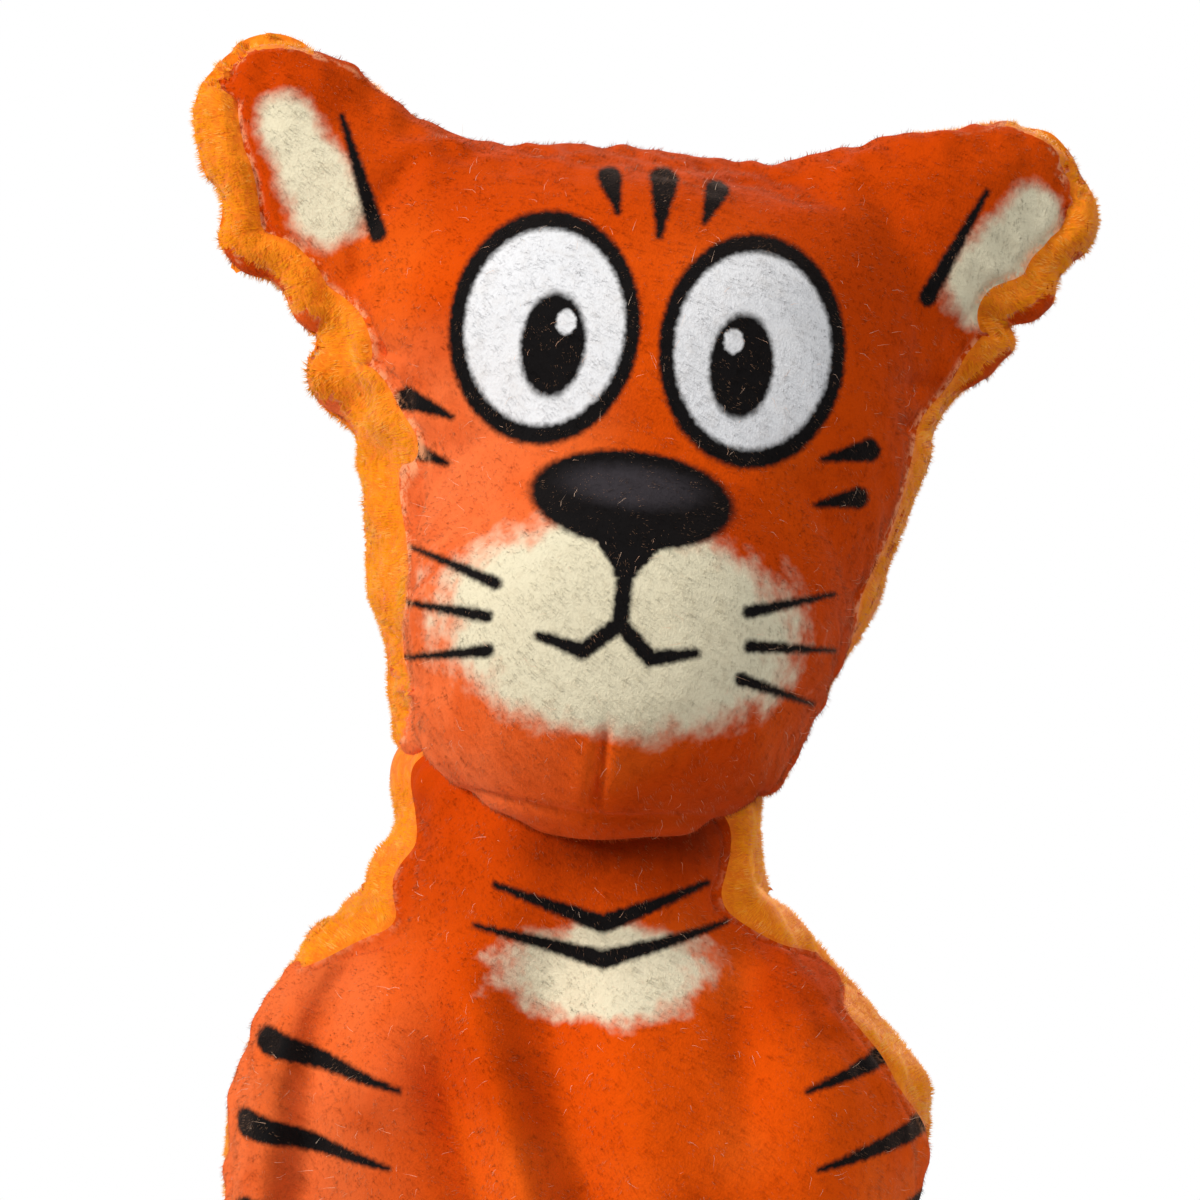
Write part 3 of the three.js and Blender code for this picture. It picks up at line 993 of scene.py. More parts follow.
    @staticmethod
    def stuff(thing: Thing, pressure: float, cap: float, frames: int = 20) -> None:
        """Blows a skin up as stuffing does, by a cloth simulation.

        Args:
            thing: The object, whose mesh takes the result.
            pressure: The stuffing's pressure.
            cap: The most that a point may move, in metres.
            frames: How long the cloth moves.
        """
        before = Mesher.points(thing)
        cloth = thing.modifiers.new("Stuffing", "CLOTH")
        cloth.settings.use_pressure = True
        cloth.settings.uniform_pressure_force = pressure
        cloth.settings.effector_weights.gravity = 0.0
        cloth.settings.quality = 5
        cloth.point_cache.frame_end = frames
        for number in range(1, frames + 1):
            bpy.context.scene.frame_set(number)
        held = bpy.context.evaluated_depsgraph_get()
        blown = bpy.data.meshes.new_from_object(thing.evaluated_get(held))
        shift = Mesher.read(blown.vertices, "co") - before
        bpy.data.meshes.remove(blown)
        thing.modifiers.clear()
        bpy.context.scene.frame_set(1)
        shift -= shift.mean(0)
        far = np.linalg.norm(shift, axis=1)
        LOG.info("%s: stuffing moved it %.1f mm at most", thing.name, far.max() / MM)
        shift *= np.minimum(1, cap / np.maximum(far, 1e-9))[:, None]
        Mesher.move(thing, before + shift)

    @staticmethod
    def cut(source: Thing, name: str,
            planes: Sequence[tuple[Vector, Vector]]) -> Thing:
        """Copies the part of a skin that lies behind every plane.

        Args:
            source: The whole skin.
            name: The part's name.
            planes: A point and a normal each; what is in front is cut away.

        Returns:
            The new object.
        """
        piece = Mesher.twin(source, name)
        with Mesher.shaping(piece.data) as shape:
            for at, normal in planes:
                bmesh.ops.bisect_plane(shape, geom=[*shape.verts, *shape.edges, *shape.faces],
                                       dist=0.01 * MM, plane_co=at, plane_no=normal,
                                       clear_outer=True)
        return piece

    @staticmethod
    def line(thing: Thing, wall: float) -> None:
        """Gives a cut skin the thickness of its cloth, inwards, and crisp edges.

        Args:
            thing: The cut skin.
            wall: The cloth's thickness in metres.
        """
        Mesher.modify(thing, "SOLIDIFY", thickness=wall, offset=-1.0)
        thing.data.shade_smooth()
        thing.data.set_sharp_from_angle(angle=math.radians(62))


@dataclass(frozen=True)
class Pile:
    """A pile of fibres and the way it is combed. Lengths are in metres."""

    length: float
    width: float
    per_square_mm: float
    lift: float
    lean: float
    scatter: float
    tuft: float
    clump: float
    curved: bool = False
    uneven: float = 0.3
    soft: float = 0.7

    def grow(self, name: str, cloth: Thing, seed: int,
             comb: Callable[[Points], Points],
             amount: Callable[[Points], Points]) -> Thing:
        """Grows the pile on a skin.

        Args:
            name: The new object's name.
            cloth: The skin.
            seed: Picks the strands.
            comb: The direction the pile is brushed in, by place.
            amount: How full the pile is, 0 to 1, by place.

        Returns:
            The pile as one mesh.
        """
        draw = np.random.default_rng(seed)
        roots, ways, fill = self.plant(cloth, draw, amount)
        brushed = comb(roots)
        brushed = unit(brushed - ways * (brushed * ways).sum(1)[:, None], 0.2)
        tufts, nearest, lean = self.tufts(roots, draw)
        heading = ways * self.lift + brushed * self.lean
        heading += lean * self.scatter + draw.normal(size=roots.shape) * self.scatter * 0.45
        size = self.length * (1 + self.uneven * draw.uniform(-1, 1, len(roots)))
        size *= 0.55 + 0.45 * fill
        tips = roots + unit(heading) * size[:, None]
        gather = tufts[nearest] - roots
        tips += gather * self.clump * draw.uniform(0.6, 1.1, len(roots))[:, None]
        shade = draw.random(len(tufts))[nearest] * 0.55 + draw.random(len(roots)) * 0.45
        return self.strands(name, roots - ways * 0.4 * MM, ways, tips, size, shade)

    def plant(self, cloth: Thing, draw: np.random.Generator,
              amount: Callable[[Points], Points]) -> tuple[Points, Points, Points]:
        """Picks where strands stand.

        Args:
            cloth: The skin.
            draw: The random numbers.
            amount: How full the pile is, by place.

        Returns:
            The roots, the skin's directions there, and how full the pile is there.
        """
        mesh = cloth.data
        mesh.calc_loop_triangles()
        corners = Mesher.read(mesh.loop_triangles, "vertices", kind=np.int32)
        places, facing = Mesher.points(cloth), Mesher.normals(cloth)
        a, b, c = (places[corners[:, k]] for k in range(3))
        areas = np.linalg.norm(np.cross(b - a, c - a), axis=1) / 2
        weight = areas * amount((a + b + c) / 3)
        count = int(weight.sum() / MM ** 2 * self.per_square_mm)
        picked = draw.choice(len(corners), count, p=weight / weight.sum())
        u, v = draw.random((2, count))
        over = u + v > 1
        u[over], v[over] = 1 - u[over], 1 - v[over]
        share = np.stack([1 - u - v, u, v], 1)[:, :, None]
        roots = (places[corners[picked]] * share).sum(1)
        ways = unit((facing[corners[picked]] * share).sum(1))
        return roots, ways, amount(roots)

    def tufts(self, roots: Points, draw: np.random.Generator) -> tuple[Points, Points, Points]:
        """Gathers the strands into tufts.

        Args:
            roots: Where the strands stand.
            draw: The random numbers.

        Returns:
            The tufts' centres, each strand's tuft, and each strand's share of its tuft's lean.
        """
        every = max(2, int(self.per_square_mm * (self.tuft / MM) ** 2))
        centres = roots[draw.permutation(len(roots))[:max(1, len(roots) // every)]]
        tree = tree_of(centres)
        nearest = np.array([tree.find(root)[1] for root in roots])
        return centres, nearest, draw.normal(size=centres.shape)[nearest]

    def strands(self, name: str, roots: Points, ways: Points, tips: Points, size: Points,
                shade: Points) -> Thing:
        """Makes three-sided strands that taper to a point.

        Args:
            name: The object's name.
            roots: Where the strands start.
            ways: The skin's directions there.
            tips: Where they end.
            size: Their lengths.
            shade: How pale they are, 0 to 1.

        Returns:
            The strands as one object.
        """
        count = len(roots)
        draw = np.random.default_rng(count)
        axis = unit(tips - roots)
        beside = unit(np.cross(axis, draw.normal(size=axis.shape)))
        across = np.cross(axis, beside)
        levels = [(0.0, roots, 0.5)]
        if self.curved:
            knee = roots + ways * size[:, None] * 0.5
            levels.append((0.5, roots * 0.25 + knee * 0.5 + tips * 0.25, 0.42))
        rows, along, facing = [], [], []
        for height, middle, share in levels:
            for turn in range(3):
                angle = 2 * math.pi * turn / 3
                spoke = beside * math.cos(angle) + across * math.sin(angle)
                rows.append(middle + spoke * self.width * share)
                along.append(height)
                facing.append(ways * self.soft + spoke * (1 - self.soft))
        rows.append(tips)
        along.append(1.0)
        facing.append(ways * self.soft + axis * (1 - self.soft))
        stops = len(rows)
        faces, map_rows = [], []
        last = stops - 4
        for turn in range(3):
            after = (turn + 1) % 3
            low, high, west, east = 0.06, 0.5, (turn + 0.12) / 3, (turn + 0.88) / 3
            if self.curved:
                faces += [(turn, after, 3 + after), (turn, 3 + after, 3 + turn)]
                map_rows += [(west, low), (east, low), (east, high)]
                map_rows += [(west, low), (east, high), (west, high)]
            faces.append((last + turn, last + after, stops - 1))
            base = high if self.curved else low
            map_rows += [(west, base), (east, base), ((west + east) / 2, 0.94)]
        corners = (np.arange(count)[:, None, None] * stops + np.array(faces)[None]).ravel()
        mesh = bpy.data.meshes.new(name)
        mesh.vertices.add(count * stops)
        places = np.stack(rows, 1).reshape(-1, 3)
        places[:, 2] = np.maximum(places[:, 2], 0.1 * MM)
        mesh.vertices.foreach_set("co", places.astype(np.float32).ravel())
        mesh.loops.add(len(corners))
        mesh.loops.foreach_set("vertex_index", corners.astype(np.int32))
        mesh.polygons.add(len(corners) // 3)
        mesh.polygons.foreach_set("loop_start", np.arange(0, len(corners), 3, dtype=np.int32))
        mesh.update(calc_edges=True)
        mesh.shade_smooth()
        mesh.normals_split_custom_set_from_vertices(np.stack(facing, 1).reshape(-1, 3).tolist())
        Mesher.keep(mesh, "along", np.tile(along, count))
        Mesher.keep(mesh, "shade", np.repeat(shade, stops))
        columns = math.ceil(math.sqrt(count))
        cell = np.stack(np.divmod(np.arange(count), columns), 1)[:, None, :]
        spread = (cell + np.array(map_rows)[None]) / columns
        sheet = mesh.uv_layers.new(name=BAKE_MAP)
        sheet.uv.foreach_set("vector", spread.astype(np.float32).ravel())
        return Mesher.show(name, mesh)


@dataclass
class Wardrobe:
    """The finishes that the pieces share."""

    face: Material
    body: Material
    lint: Material
    plush: Material
    plush_cloth: Material
    fill: Material
    thread: Material
    shell: Material
    reed: Material


@dataclass(frozen=True)
class Bend:
    """The joint that a piece crosses: its two bodies and the span over which it would bend."""

    near: str
    far: str
    start: Vector
    end: Vector


def settle(piece: Thing, material: Material,
           rides: Union[str, Bend], stands_for: Sequence[str] = ()) -> Thing:
    """Dresses a finished piece and ties it to its body; a piece that crosses a joint only has its place
    baked into its mesh.

    Args:
        piece: The finished piece.
        material: Its material.
        rides: Its body, or the joint that it crosses.
        stands_for: The nodes that it replaces.

    Returns:
        The piece.
    """
    piece.data.materials.clear()
    piece.data.materials.append(material)
    Mesher.keep(piece.data, REST, Mesher.points(piece))
    if stands_for:
        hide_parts(*stands_for)
    if isinstance(rides, Bend):
        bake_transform(piece)
    else:
        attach(piece, rides)
    LOG.info("%s: %d faces", piece.name, len(piece.data.polygons))
    return piece


@dataclass
class Ear:
    """One ear: where it is sewn on, and which way it points."""

    side: Side
    reach: float = 13 * MM
    root: Vector = field(init=False)
    axis: Vector = field(init=False)
    outward: Vector = field(init=False)

    def __post_init__(self) -> None:
        """Reads the ear's hinge from the frame."""
        hinge = joint(f"{self.side.ear}_fold")
        self.root = Vector(hinge["pos_m"])
        self.axis = Vector(hinge["axis"]).normalized()
        self.outward = self.axis.cross(Vector((0, 1, 0))).normalized()
        if self.outward.x * self.side.value < 0:
            self.outward.negate()

    def beyond(self, places: Points) -> Points:
        """How far points lie outside the ear's root, in metres."""
        return (places - np.array(self.root)) @ np.array(self.outward)

    def above(self, places: Points) -> Points:
        """How far points lie above the middle of the ear's root, along it, in metres."""
        return (places - np.array(self.root)) @ np.array(self.axis) * np.sign(self.axis.z)

    def bend(self) -> Bend:
        """The span a short way out from the ear's root, between the head and the ear."""
        return Bend("head", self.side.ear, self.root, self.root + self.outward * self.reach)


@dataclass
class SideSeam:
    """The toy's outline as seen from the front, along which velour and plush are sewn."""

    rim: KDTree
    depths: Points

    @classmethod
    def follow(cls, skin: Thing, shows: Points, probe: float = 1.7,
               clear: float = 1.1, even: float = 7.0) -> "SideSeam":
        """Finds the outline on a skin, where it turns from front to back.

        Args:
            skin: The skin.
            shows: Which of its points may lie on the outline.
            probe: How far outside the outline nothing else may lie, in millimetres.
            clear: How far the skin keeps from there, in millimetres.
            even: Over what length the outline's depth is evened out, in millimetres.

        Returns:
            The seam.
        """
        places, facing = Mesher.points(skin), Mesher.normals(skin)
        pairs = Mesher.read(skin.data.edges, "vertices", 2, np.int32)
        turns = facing[pairs[:, 0], 1] * facing[pairs[:, 1], 1] < 0
        pairs = pairs[turns & shows[pairs].all(1)]
        near, far = pairs.T
        share = (facing[near, 1] / (facing[near, 1] - facing[far, 1]))[:, None]
        edge = places[near] + (places[far] - places[near]) * share
        out = (facing[near] + (facing[far] - facing[near]) * share) * SEEN_FROM_FRONT
        front = tree_of(places * SEEN_FROM_FRONT)
        probes = (edge + unit(out, 1e-6) * probe * MM) * SEEN_FROM_FRONT
        edge = edge[[front.find(place)[2] > clear * MM for place in probes]]
        rim = tree_of(edge * SEEN_FROM_FRONT)
        depths = [np.mean([edge[number, 1] for _, number, _ in rim.find_range(place, even * MM)])
                  for place in edge * SEEN_FROM_FRONT]
        return cls(rim, np.array(depths))

    def reach(self, places: Points) -> tuple[Points, Points, Points]:
        """The way to the outline, seen from the front.

        Args:
            places: Points, in metres.

        Returns:
            A direction a point, the distance, and how far the point lies behind the outline,
            both in millimetres.
        """
        flat = places * SEEN_FROM_FRONT
        hits = [self.rim.find(place) for place in flat]
        far = np.array([hit[2] for hit in hits])
        way = (np.array([hit[0] for hit in hits]) - flat) / np.maximum(far, 1e-6)[:, None]
        behind = places[:, 1] - self.depths[[hit[1] for hit in hits]]
        return way, far / MM, behind / MM


@dataclass
class Stuffed:
    """A stuffed skin, velour in front and plush behind. Sizes are in millimetres."""

    wall: float = 1.3
    stuffing: float = 4.0
    stuffing_cap: float = 3.0
    finer: int = 2
    band: float = 6.6
    thin_above: float = 0.0
    puff: float = 1.8
    seam_draw: float = 1.4
    seam_width: float = 1.5
    edge_wave: float = 22.0
    edge_uneven: float = 0.18
    edge_hidden: float = 2.0
    swell: float = 1.5
    swell_uneven: float = 1.2
    swell_wave: float = 13.0
    swell_behind: float = 4.8
    swell_width: float = 3.8
    crinkle: float = 0.5
    crinkle_wave: float = 8.0
    swirl: float = 1.1
    swirl_wave: float = 26.0
    seed: int = 11
    plush: Pile = Pile(length=1.5 * MM, width=0.19 * MM, per_square_mm=6.7, lift=0.34,
                       lean=0.90, scatter=0.12, tuft=2.2 * MM, clump=0.22, uneven=0.25,
                       soft=0.74)
    lint: Pile = Pile(length=2.8 * MM, width=0.06 * MM, per_square_mm=0.02, lift=0.15,
                      lean=0.35, scatter=0.9, tuft=3.0 * MM, clump=0.0, curved=True)
    nap: Pile = Pile(length=1.1 * MM, width=0.15 * MM, per_square_mm=2.4, lift=0.38,
                     lean=0.75, scatter=0.25, tuft=2.0 * MM, clump=0.1, soft=0.92)
    skin: Thing = field(init=False)
    side: SideSeam = field(init=False)

    def inflate(self) -> Points:
        """Stuffs the skin and makes its mesh fine.

        Returns:
            The skin's points.
        """
        Mesher.stuff(self.skin, self.stuffing, self.stuffing_cap * MM)
        Mesher.modify(self.skin, "SUBSURF", levels=self.finer, render_levels=self.finer)
        return Mesher.points(self.skin)

    def setback(self, places: Points) -> Points:
        """How far behind the outline the two cloths meet, in millimetres."""
        return np.zeros(len(places))

    def behind(self, places: Points) -> Points:
        """How far points lie behind the seam of the side, in millimetres."""
        return self.side.reach(places)[2] - self.setback(places)

    def fluff(self, places: Points) -> Points:
        """How far the plush comes round to the front, 0 to 1."""
        return np.ones(len(places))

    def inside(self, places: Points) -> Points:
        """How far points lie inside the velour's edge.

        Args:
            places: The skin's points.

        Returns:
            The distance of each in millimetres, negative on the plush.
        """
        way, away, behind = self.side.reach(places)
        uneven = 1 + self.edge_uneven * ripple(places / MM, self.edge_wave, self.seed + 5)
        fluff = self.fluff(places) * (1 - self.thin_above * ease(0.25, 0.8, way[:, 2]))
        reach = fluff * (self.band + self.edge_hidden) * uneven - self.edge_hidden
        return np.minimum(self.setback(places) - behind, away - reach)

    def pucker(self, places: Points) -> Points:
        """How the seam draws the cloth in and the plush swells beside it.

        Args:
            places: The skin's points.

        Returns:
            How far each moves out, in millimetres.
        """
        inside, fluff = self.inside(places), self.fluff(places)
        lumps = self.swell + self.swell_uneven * ripple(places / MM, self.swell_wave, self.seed + 7)
        creases = self.crinkle * ripple(places / MM, self.crinkle_wave, self.seed + 9)
        push = -self.seam_draw * bell(inside, self.seam_width)
        push += bell(inside + self.swell_behind, self.swell_width) * (inside < 0) * fluff * lumps
        push += self.puff * ease(-10.0, -1.0, self.behind(places))
        push += creases * bell(inside, self.crinkle_wave) * (inside > 0)
        return push

    def comb_back(self, places: Points) -> Points:
        """Brushes the plush outwards in front, back round the outline and down behind.

        Args:
            places: The strands' roots.

        Returns:
            A direction each.
        """
        way, away, behind = self.side.reach(places)
        front = (ease(1.0, 4.0, away) * (behind < 0))[:, None]
        deep = ease(3.0, 12.0, behind)[:, None]
        down = np.array((0.0, 0.35, -1.0)) + np.sign(places) * (0.25, 0.0, 0.0)
        down[:, 0] += self.swirl * ripple(places / MM, self.swirl_wave, self.seed + 13)
        return way * front + np.array((0.0, 1.0, 0.0)) * (1 - front) * (1 - deep) + down * deep

    def comb_front(self, places: Points) -> Points:
        """The velour is brushed down and a little to one side."""
        return np.tile((0.4, 0.0, -1.0), (len(places), 1))

    def everywhere(self, places: Points) -> Points:
        """A pile that covers all."""
        return np.ones(len(places))

    def bared(self, places: Points) -> Points:
        """Where the velour's raw edge shows, 0 to 1."""
        return np.ones(len(places))

    def full(self, places: Points) -> Points:
        """How full the plush is, most beside the velour, 0 to 1."""
        return 0.62 + 0.38 * bell(np.minimum(self.inside(places) + 9.0, 0), 6.0)

    def within(self, side: Side, low: float = -math.inf,
               high: float = math.inf) -> Callable[[Points], Points]:
        """Makes the plush's fullness for a piece of its own.

        Args:
            side: The piece's side of the toy.
            low: Where it starts, in millimetres above the floor.
            high: Where it ends.

        Returns:
            The fullness by place, nothing outside the piece.
        """
        def share(places: Points) -> Points:
            """The fullness inside the piece."""
            x, _, z = (places / MM).T
            return self.full(places) * (x * side.value > 0) * (z > low) * (z <= high)

        return share

    def flatten(self) -> Thing:
        """Copies the skin so that the velour's edge lies in the plane Y = 0.

        Returns:
            The copy, which keeps its true depth and the velour's raw edge as attributes.
        """
        flat = Mesher.twin(self.skin, "flattened")
        places = Mesher.points(flat)
        inside = self.inside(places)
        edge = (1 - ease(0.3, 1.5, inside)) * self.bared(places)
        Mesher.keep(flat.data, "depth", places[:, 1])
        Mesher.keep(flat.data, "edge", edge)
        places[:, 1] = -inside * MM
        Mesher.move(flat, places)
        return flat

    def cloth(self, flat: Thing, name: str, front: bool,
              planes: Sequence[tuple[Vector, Vector]]) -> Thing:
        """Cuts one cloth out of the skin.

        Args:
            flat: The flattened skin.
            name: The cloth's name.
            front: True for the velour.
            planes: What else is cut away, as for Mesher.cut.

        Returns:
            The cloth, in its true shape.
        """
        seam = (Vector((0, 0, 0)), Vector((0, 1 if front else -1, 0)))
        piece = Mesher.cut(flat, name, [seam, *planes])
        kept = piece.data.attributes["depth"]
        places = Mesher.points(piece)
        places[:, 1] = Mesher.read(kept.data, "value", 1)[:, 0]
        piece.data.attributes.remove(kept)
        Mesher.move(piece, places)
        return piece


@dataclass
class HeadAssembly(Stuffed):
    """The stuffed head with its two ears."""

    nodes: tuple[str, ...] = ("face_panel", "chin_panel", "head_back_panel", "head_filling",
                              "ear_left_front", "ear_left_back", "ear_right_front",
                              "ear_right_back")
    thin_above: float = 0.8
    voxel: float = 3.6
    relax: int = 11
    right_fill: float = 0.14
    left_tucks: tuple[Row, ...] = ((4.8, 22, 13), (4.8, 66, 7), (2.4, 51, 9), (-3.0, 2, 5))
    ear_lift: float = 0.45
    dart_at: float = 2.0
    dart_depth: float = 1.5
    chin_seam: float = 0.9
    socket_radius: float = 33.0
    muzzle_middle: tuple[float, float, float] = (3.5, -28.0, 31.0)
    muzzle_radii: tuple[float, float, float] = (46.0, 38.0, 41.5)
    wads: tuple[tuple[Row, Row, float], ...] = (
        ((-44.0, -3.0, 125.0), (15.0, 10.0, 8.5), 0.0),
        ((-70.0, -1.0, 135.2), (20.0, 7.5, 8.5), 14.0),
        ((-82.5, 0.0, 128.0), (11.5, 7.0, 13.5), 0.0),
        ((-77.5, 0.0, 108.0), (8.5, 6.5, 10.0), 0.0),
        ((-3.0, 0.0, 125.0), (40.0, 12.0, 10.5), -1.5),
        ((42.0, 0.0, 132.0), (17.0, 9.5, 9.0), 0.0),
        ((68.0, 2.0, 92.0), (10.5, 9.0, 8.0), 0.0),
        ((55.0, 1.0, 134.0), (26.0, 8.5, 9.5), -13.0),
        ((73.0, 5.0, 135.5), (15.0, 7.5, 11.5), 0.0),
        ((83.0, 6.0, 128.5), (11.0, 7.5, 8.5), 0.0),
        ((-57.5, 0.0, 77.5), (8.5, 8.5, 6.5), 0.0))
    dents: tuple[Row, ...] = (
        (-49.0, 76.0, 1.5, 5.5, 2.8), (-50.0, 84.0, 2.0, 5.0, 1.8),
        (60.0, 90.0, 2.2, 5.5, 1.9), (59.0, 82.0, 2.4, 5.0, 1.5))
    left: Ear = field(default_factory=lambda: Ear(Side.LEFT))
    right: Ear = field(default_factory=lambda: Ear(Side.RIGHT))
    pivot: Vector = field(init=False)
    roll: float = field(init=False)

    def __post_init__(self) -> None:
        """Reads the head's pivot and tilt from the frame."""
        self.pivot = Vector(joint("head_nod")["pos_m"])
        axis = Vector(joint("head_nod")["axis"])
        self.roll = math.atan2(-axis.z, axis.x)

    def local(self, places: Points) -> Points:
        """Places as the upright head sees them.

        Args:
            places: Points in the toy's frame, in metres.

        Returns:
            The points in the head's own frame, in millimetres from its pivot.
        """
        away = (places - np.array(self.pivot)) / MM
        lean, rise = math.cos(self.roll), math.sin(self.roll)
        x, y, z = away.T
        return np.stack([x * lean - z * rise, y, x * rise + z * lean], 1)

    def world(self, local: Points) -> Points:
        """Places as the toy's frame sees them.

        Args:
            local: Points in the head's own frame, in millimetres from its pivot.

        Returns:
            The points in the toy's frame, in metres.
        """
        lean, rise = math.cos(self.roll), math.sin(self.roll)
        x, y, z = local.T
        away = np.stack([x * lean + z * rise, y, z * lean - x * rise], 1)
        return away * MM + np.array(self.pivot)

    def ears(self) -> tuple[Ear, Ear]:
        """The two ears."""
        return self.left, self.right

    def setback(self, places: Points) -> Points:
        """Runs the velour back over the crown and the right jaw.

        Args:
            places: The skin's points, in metres.

        Returns:
            How far behind the outline each point's seam lies, in millimetres.
        """
        x, _, z = self.local(places).T
        crown = ease(110, 124, z) * (1 - ease(40, 56, np.abs(x)))
        jaw = ease(8, 26, x) * (1 - ease(26, 40, z))
        return 3.0 * jaw + 3.5 * crown

    def fluff(self, places: Points) -> Points:
        """Brings the plush round most at the left ear and cheek, and not on the crown.

        Args:
            places: The skin's points, in metres.

        Returns:
            How far it comes round, 0 to 1.
        """
        x, _, z = self.local(places).T
        crown = ease(108, 122, z) * (1 - ease(44, 62, np.abs(x)))
        jaw = ease(0, 10, x) * (1 - ease(30, 50, z))
        cheek = ease(0, 10, -x) * bell(z - 24, 13)
        under = ease(-40, -32, x) * (1 - ease(8, 20, z))
        full = 1 - jaw - 0.65 * cheek - 0.4 * ease(0, 10, -x) * (1 - ease(2, 14, z)) - under
        for ear in self.ears():
            beyond = ear.beyond(places) / MM
            upper = ease(4.0, 16.0, ear.above(places) / MM) * ease(0.0, 6.0, beyond)
            full = full * (1 - 0.85 * upper * (1 - 0.7 * ease(22.0, 36.0, beyond)))
        full = full * (1 - ease(0, 10, x) * (0.6 - 0.4 * ease(88, 100, z)))
        return np.clip(full * (1 - crown), 0, 1)

    def bared(self, places: Points) -> Points:
        """The velour's raw edge is turned in on the crown."""
        x, _, z = self.local(places).T
        return 1 - 0.8 * ease(108, 122, z) * (1 - ease(44, 62, np.abs(x)))

    def wad(self, centre: Sequence[float], radii: Sequence[float], tilt: float) -> Matrix:
        """Shapes a ball of stuffing in the head's own frame.

        Args:
            centre: Its centre in millimetres.
            radii: Its half widths in millimetres.
            tilt: Its turn about Y in degrees.

        Returns:
            The matrix for a ball of radius 1.
        """
        spin = Matrix.Rotation(self.roll, 4, "Y")
        size = Matrix.Rotation(math.radians(tilt), 4, "Y") @ Matrix.Diagonal((*radii, 1.0))
        return (Matrix.Translation(self.pivot) @ spin
                @ Matrix.Scale(MM, 4) @ Matrix.Translation(centre) @ size)

    def build(self) -> None:
        """Stuffs the head and ears as one skin and draws its seams in."""
        self.skin = Mesher.gather("head_skin", self.nodes, [self.wad(*row) for row in self.wads])
        Mesher.modify(self.skin, "REMESH", mode="VOXEL", voxel_size=self.voxel * MM)
        self.fit()
        self.round_chin()
        places = Mesher.points(self.skin)
        beyond = np.maximum(self.left.beyond(places), self.right.beyond(places)) / MM
        Mesher.smooth(self.skin, 3)
        Mesher.smooth(self.skin, self.relax, 1 - ease(-8.0, 8.0, beyond))
        places = self.inflate()
        local = self.local(places)
        shows = np.linalg.norm(local, axis=1) > self.socket_radius
        shows &= (np.abs(local[:, 1]) < 20) & (local[:, 2] > -14)
        self.side = SideSeam.follow(self.skin, shows)
        self.sew()

    def fit(self) -> None:
        """Fills the right cheek out, tucks the left one in and lifts the right ear's lower edge."""
        places = Mesher.points(self.skin)
        x, y, z = self.local(places).T
        fill = self.right_fill * x * ease(14, 40, z) * (1 - ease(72, 98, z))
        fill += 4.5 * bell(z - 4, 9) * ease(18, 36, x)
        shift = np.where(x > 0, fill, bulges(z, self.left_tucks) * ease(12, 42, -x))
        above = self.right.above(places) / MM
        outer = ease(-2.0, 8.0, self.right.beyond(places) / MM)
        lift = -self.ear_lift * above * ease(4.0, 20.0, -above) * outer
        Mesher.move(self.skin, self.world(np.stack([x + shift, y, z + lift], 1)))

    def round_chin(self) -> None:
        """Rounds the lower front off to the muzzle's ball."""
        places = Mesher.points(self.skin)
        middle, radii = np.array(self.muzzle_middle), np.array(self.muzzle_radii)
        local = self.local(places)
        away = (local - middle) / radii
        far = np.linalg.norm(away, axis=1)
        share = ease(2.0, 20.0, -local[:, 1]) * (1 - ease(6.0, 34.0, local[:, 2]))
        share *= far > 1
        target = middle + (local - middle) / np.maximum(far, 1e-6)[:, None]
        eased = local + (target - local) * share[:, None]
        Mesher.move(self.skin, self.world(eased))

    def sew(self) -> None:
        """Draws in the side seams, the chin dart and the chin seam, and puckers the cloth."""
        places, facing = Mesher.points(self.skin), Mesher.normals(self.skin)
        local = self.local(places)
        x, y, z = local.T
        behind = self.behind(places)
        push = self.pucker(places)
        push += 0.5 * ripple(local, 34.0, 7)
        front = y < -8
        aside = x - self.dart_at
        dart = self.dart_depth * bell(aside, 1.0) * ease(-3.0, 2.0, z)
        push -= dart * (1 - ease(13.0, 19.0, z)) * front
        push += 0.5 * bell(np.abs(aside) - 3.0, 2.2) * bell(z - 6.0, 8.0) * front
        push -= self.chin_seam * bell(z + 2.0 - 0.0018 * x * x, 1.1) * front
        ball = np.hypot(x - 3.0, z - 31.0)
        brow = ease(38.0, 50.0, z) * (1 - ease(62.0, 76.0, z)) * front
        push += (0.9 * bell(ball - 43.0, 4.0) - 1.0 * bell(ball - 48.5, 2.0)) * brow
        for across, up, squeeze, width, depth in self.dents:
            dent = bell(np.hypot(x - across, (z - up) * squeeze), width)
            push -= depth * dent * (behind < 0)
        Mesher.move(self.skin, places + facing * push[:, None] * MM)

    def open_socket(self, piece: Thing) -> None:
        """Cuts the neck's opening out of a skin.

        Args:
            piece: The skin.
        """
        away = np.linalg.norm(self.local(Mesher.points(piece)), axis=1)
        with Mesher.shaping(piece.data) as shape:
            shape.verts.ensure_lookup_table()
            doomed = [shape.verts[k] for k in np.flatnonzero(away < self.socket_radius)]
            bmesh.ops.delete(shape, geom=doomed, context="VERTS")

    def dress(self, wardrobe: Wardrobe) -> None:
        """Cuts the skin into its cloths, grows their pile and ties the head's own pieces to the head;
        the ears' pieces stay untied.

        Args:
            wardrobe: The finishes.
        """
        flat = self.flatten()
        roots = [(ear.root, ear.outward) for ear in self.ears()]
        face = self.cloth(flat, "face_cover", True, roots)
        back = self.cloth(flat, "head_back_cover", False, roots)
        self.open_socket(face)
        self.open_socket(back)
        self.dress_head(wardrobe, face, back)
        for number, ear in enumerate(self.ears()):
            self.dress_ear(wardrobe, flat, ear, 40 + 10 * number)
        Mesher.drop(flat)
        Mesher.drop(self.skin)

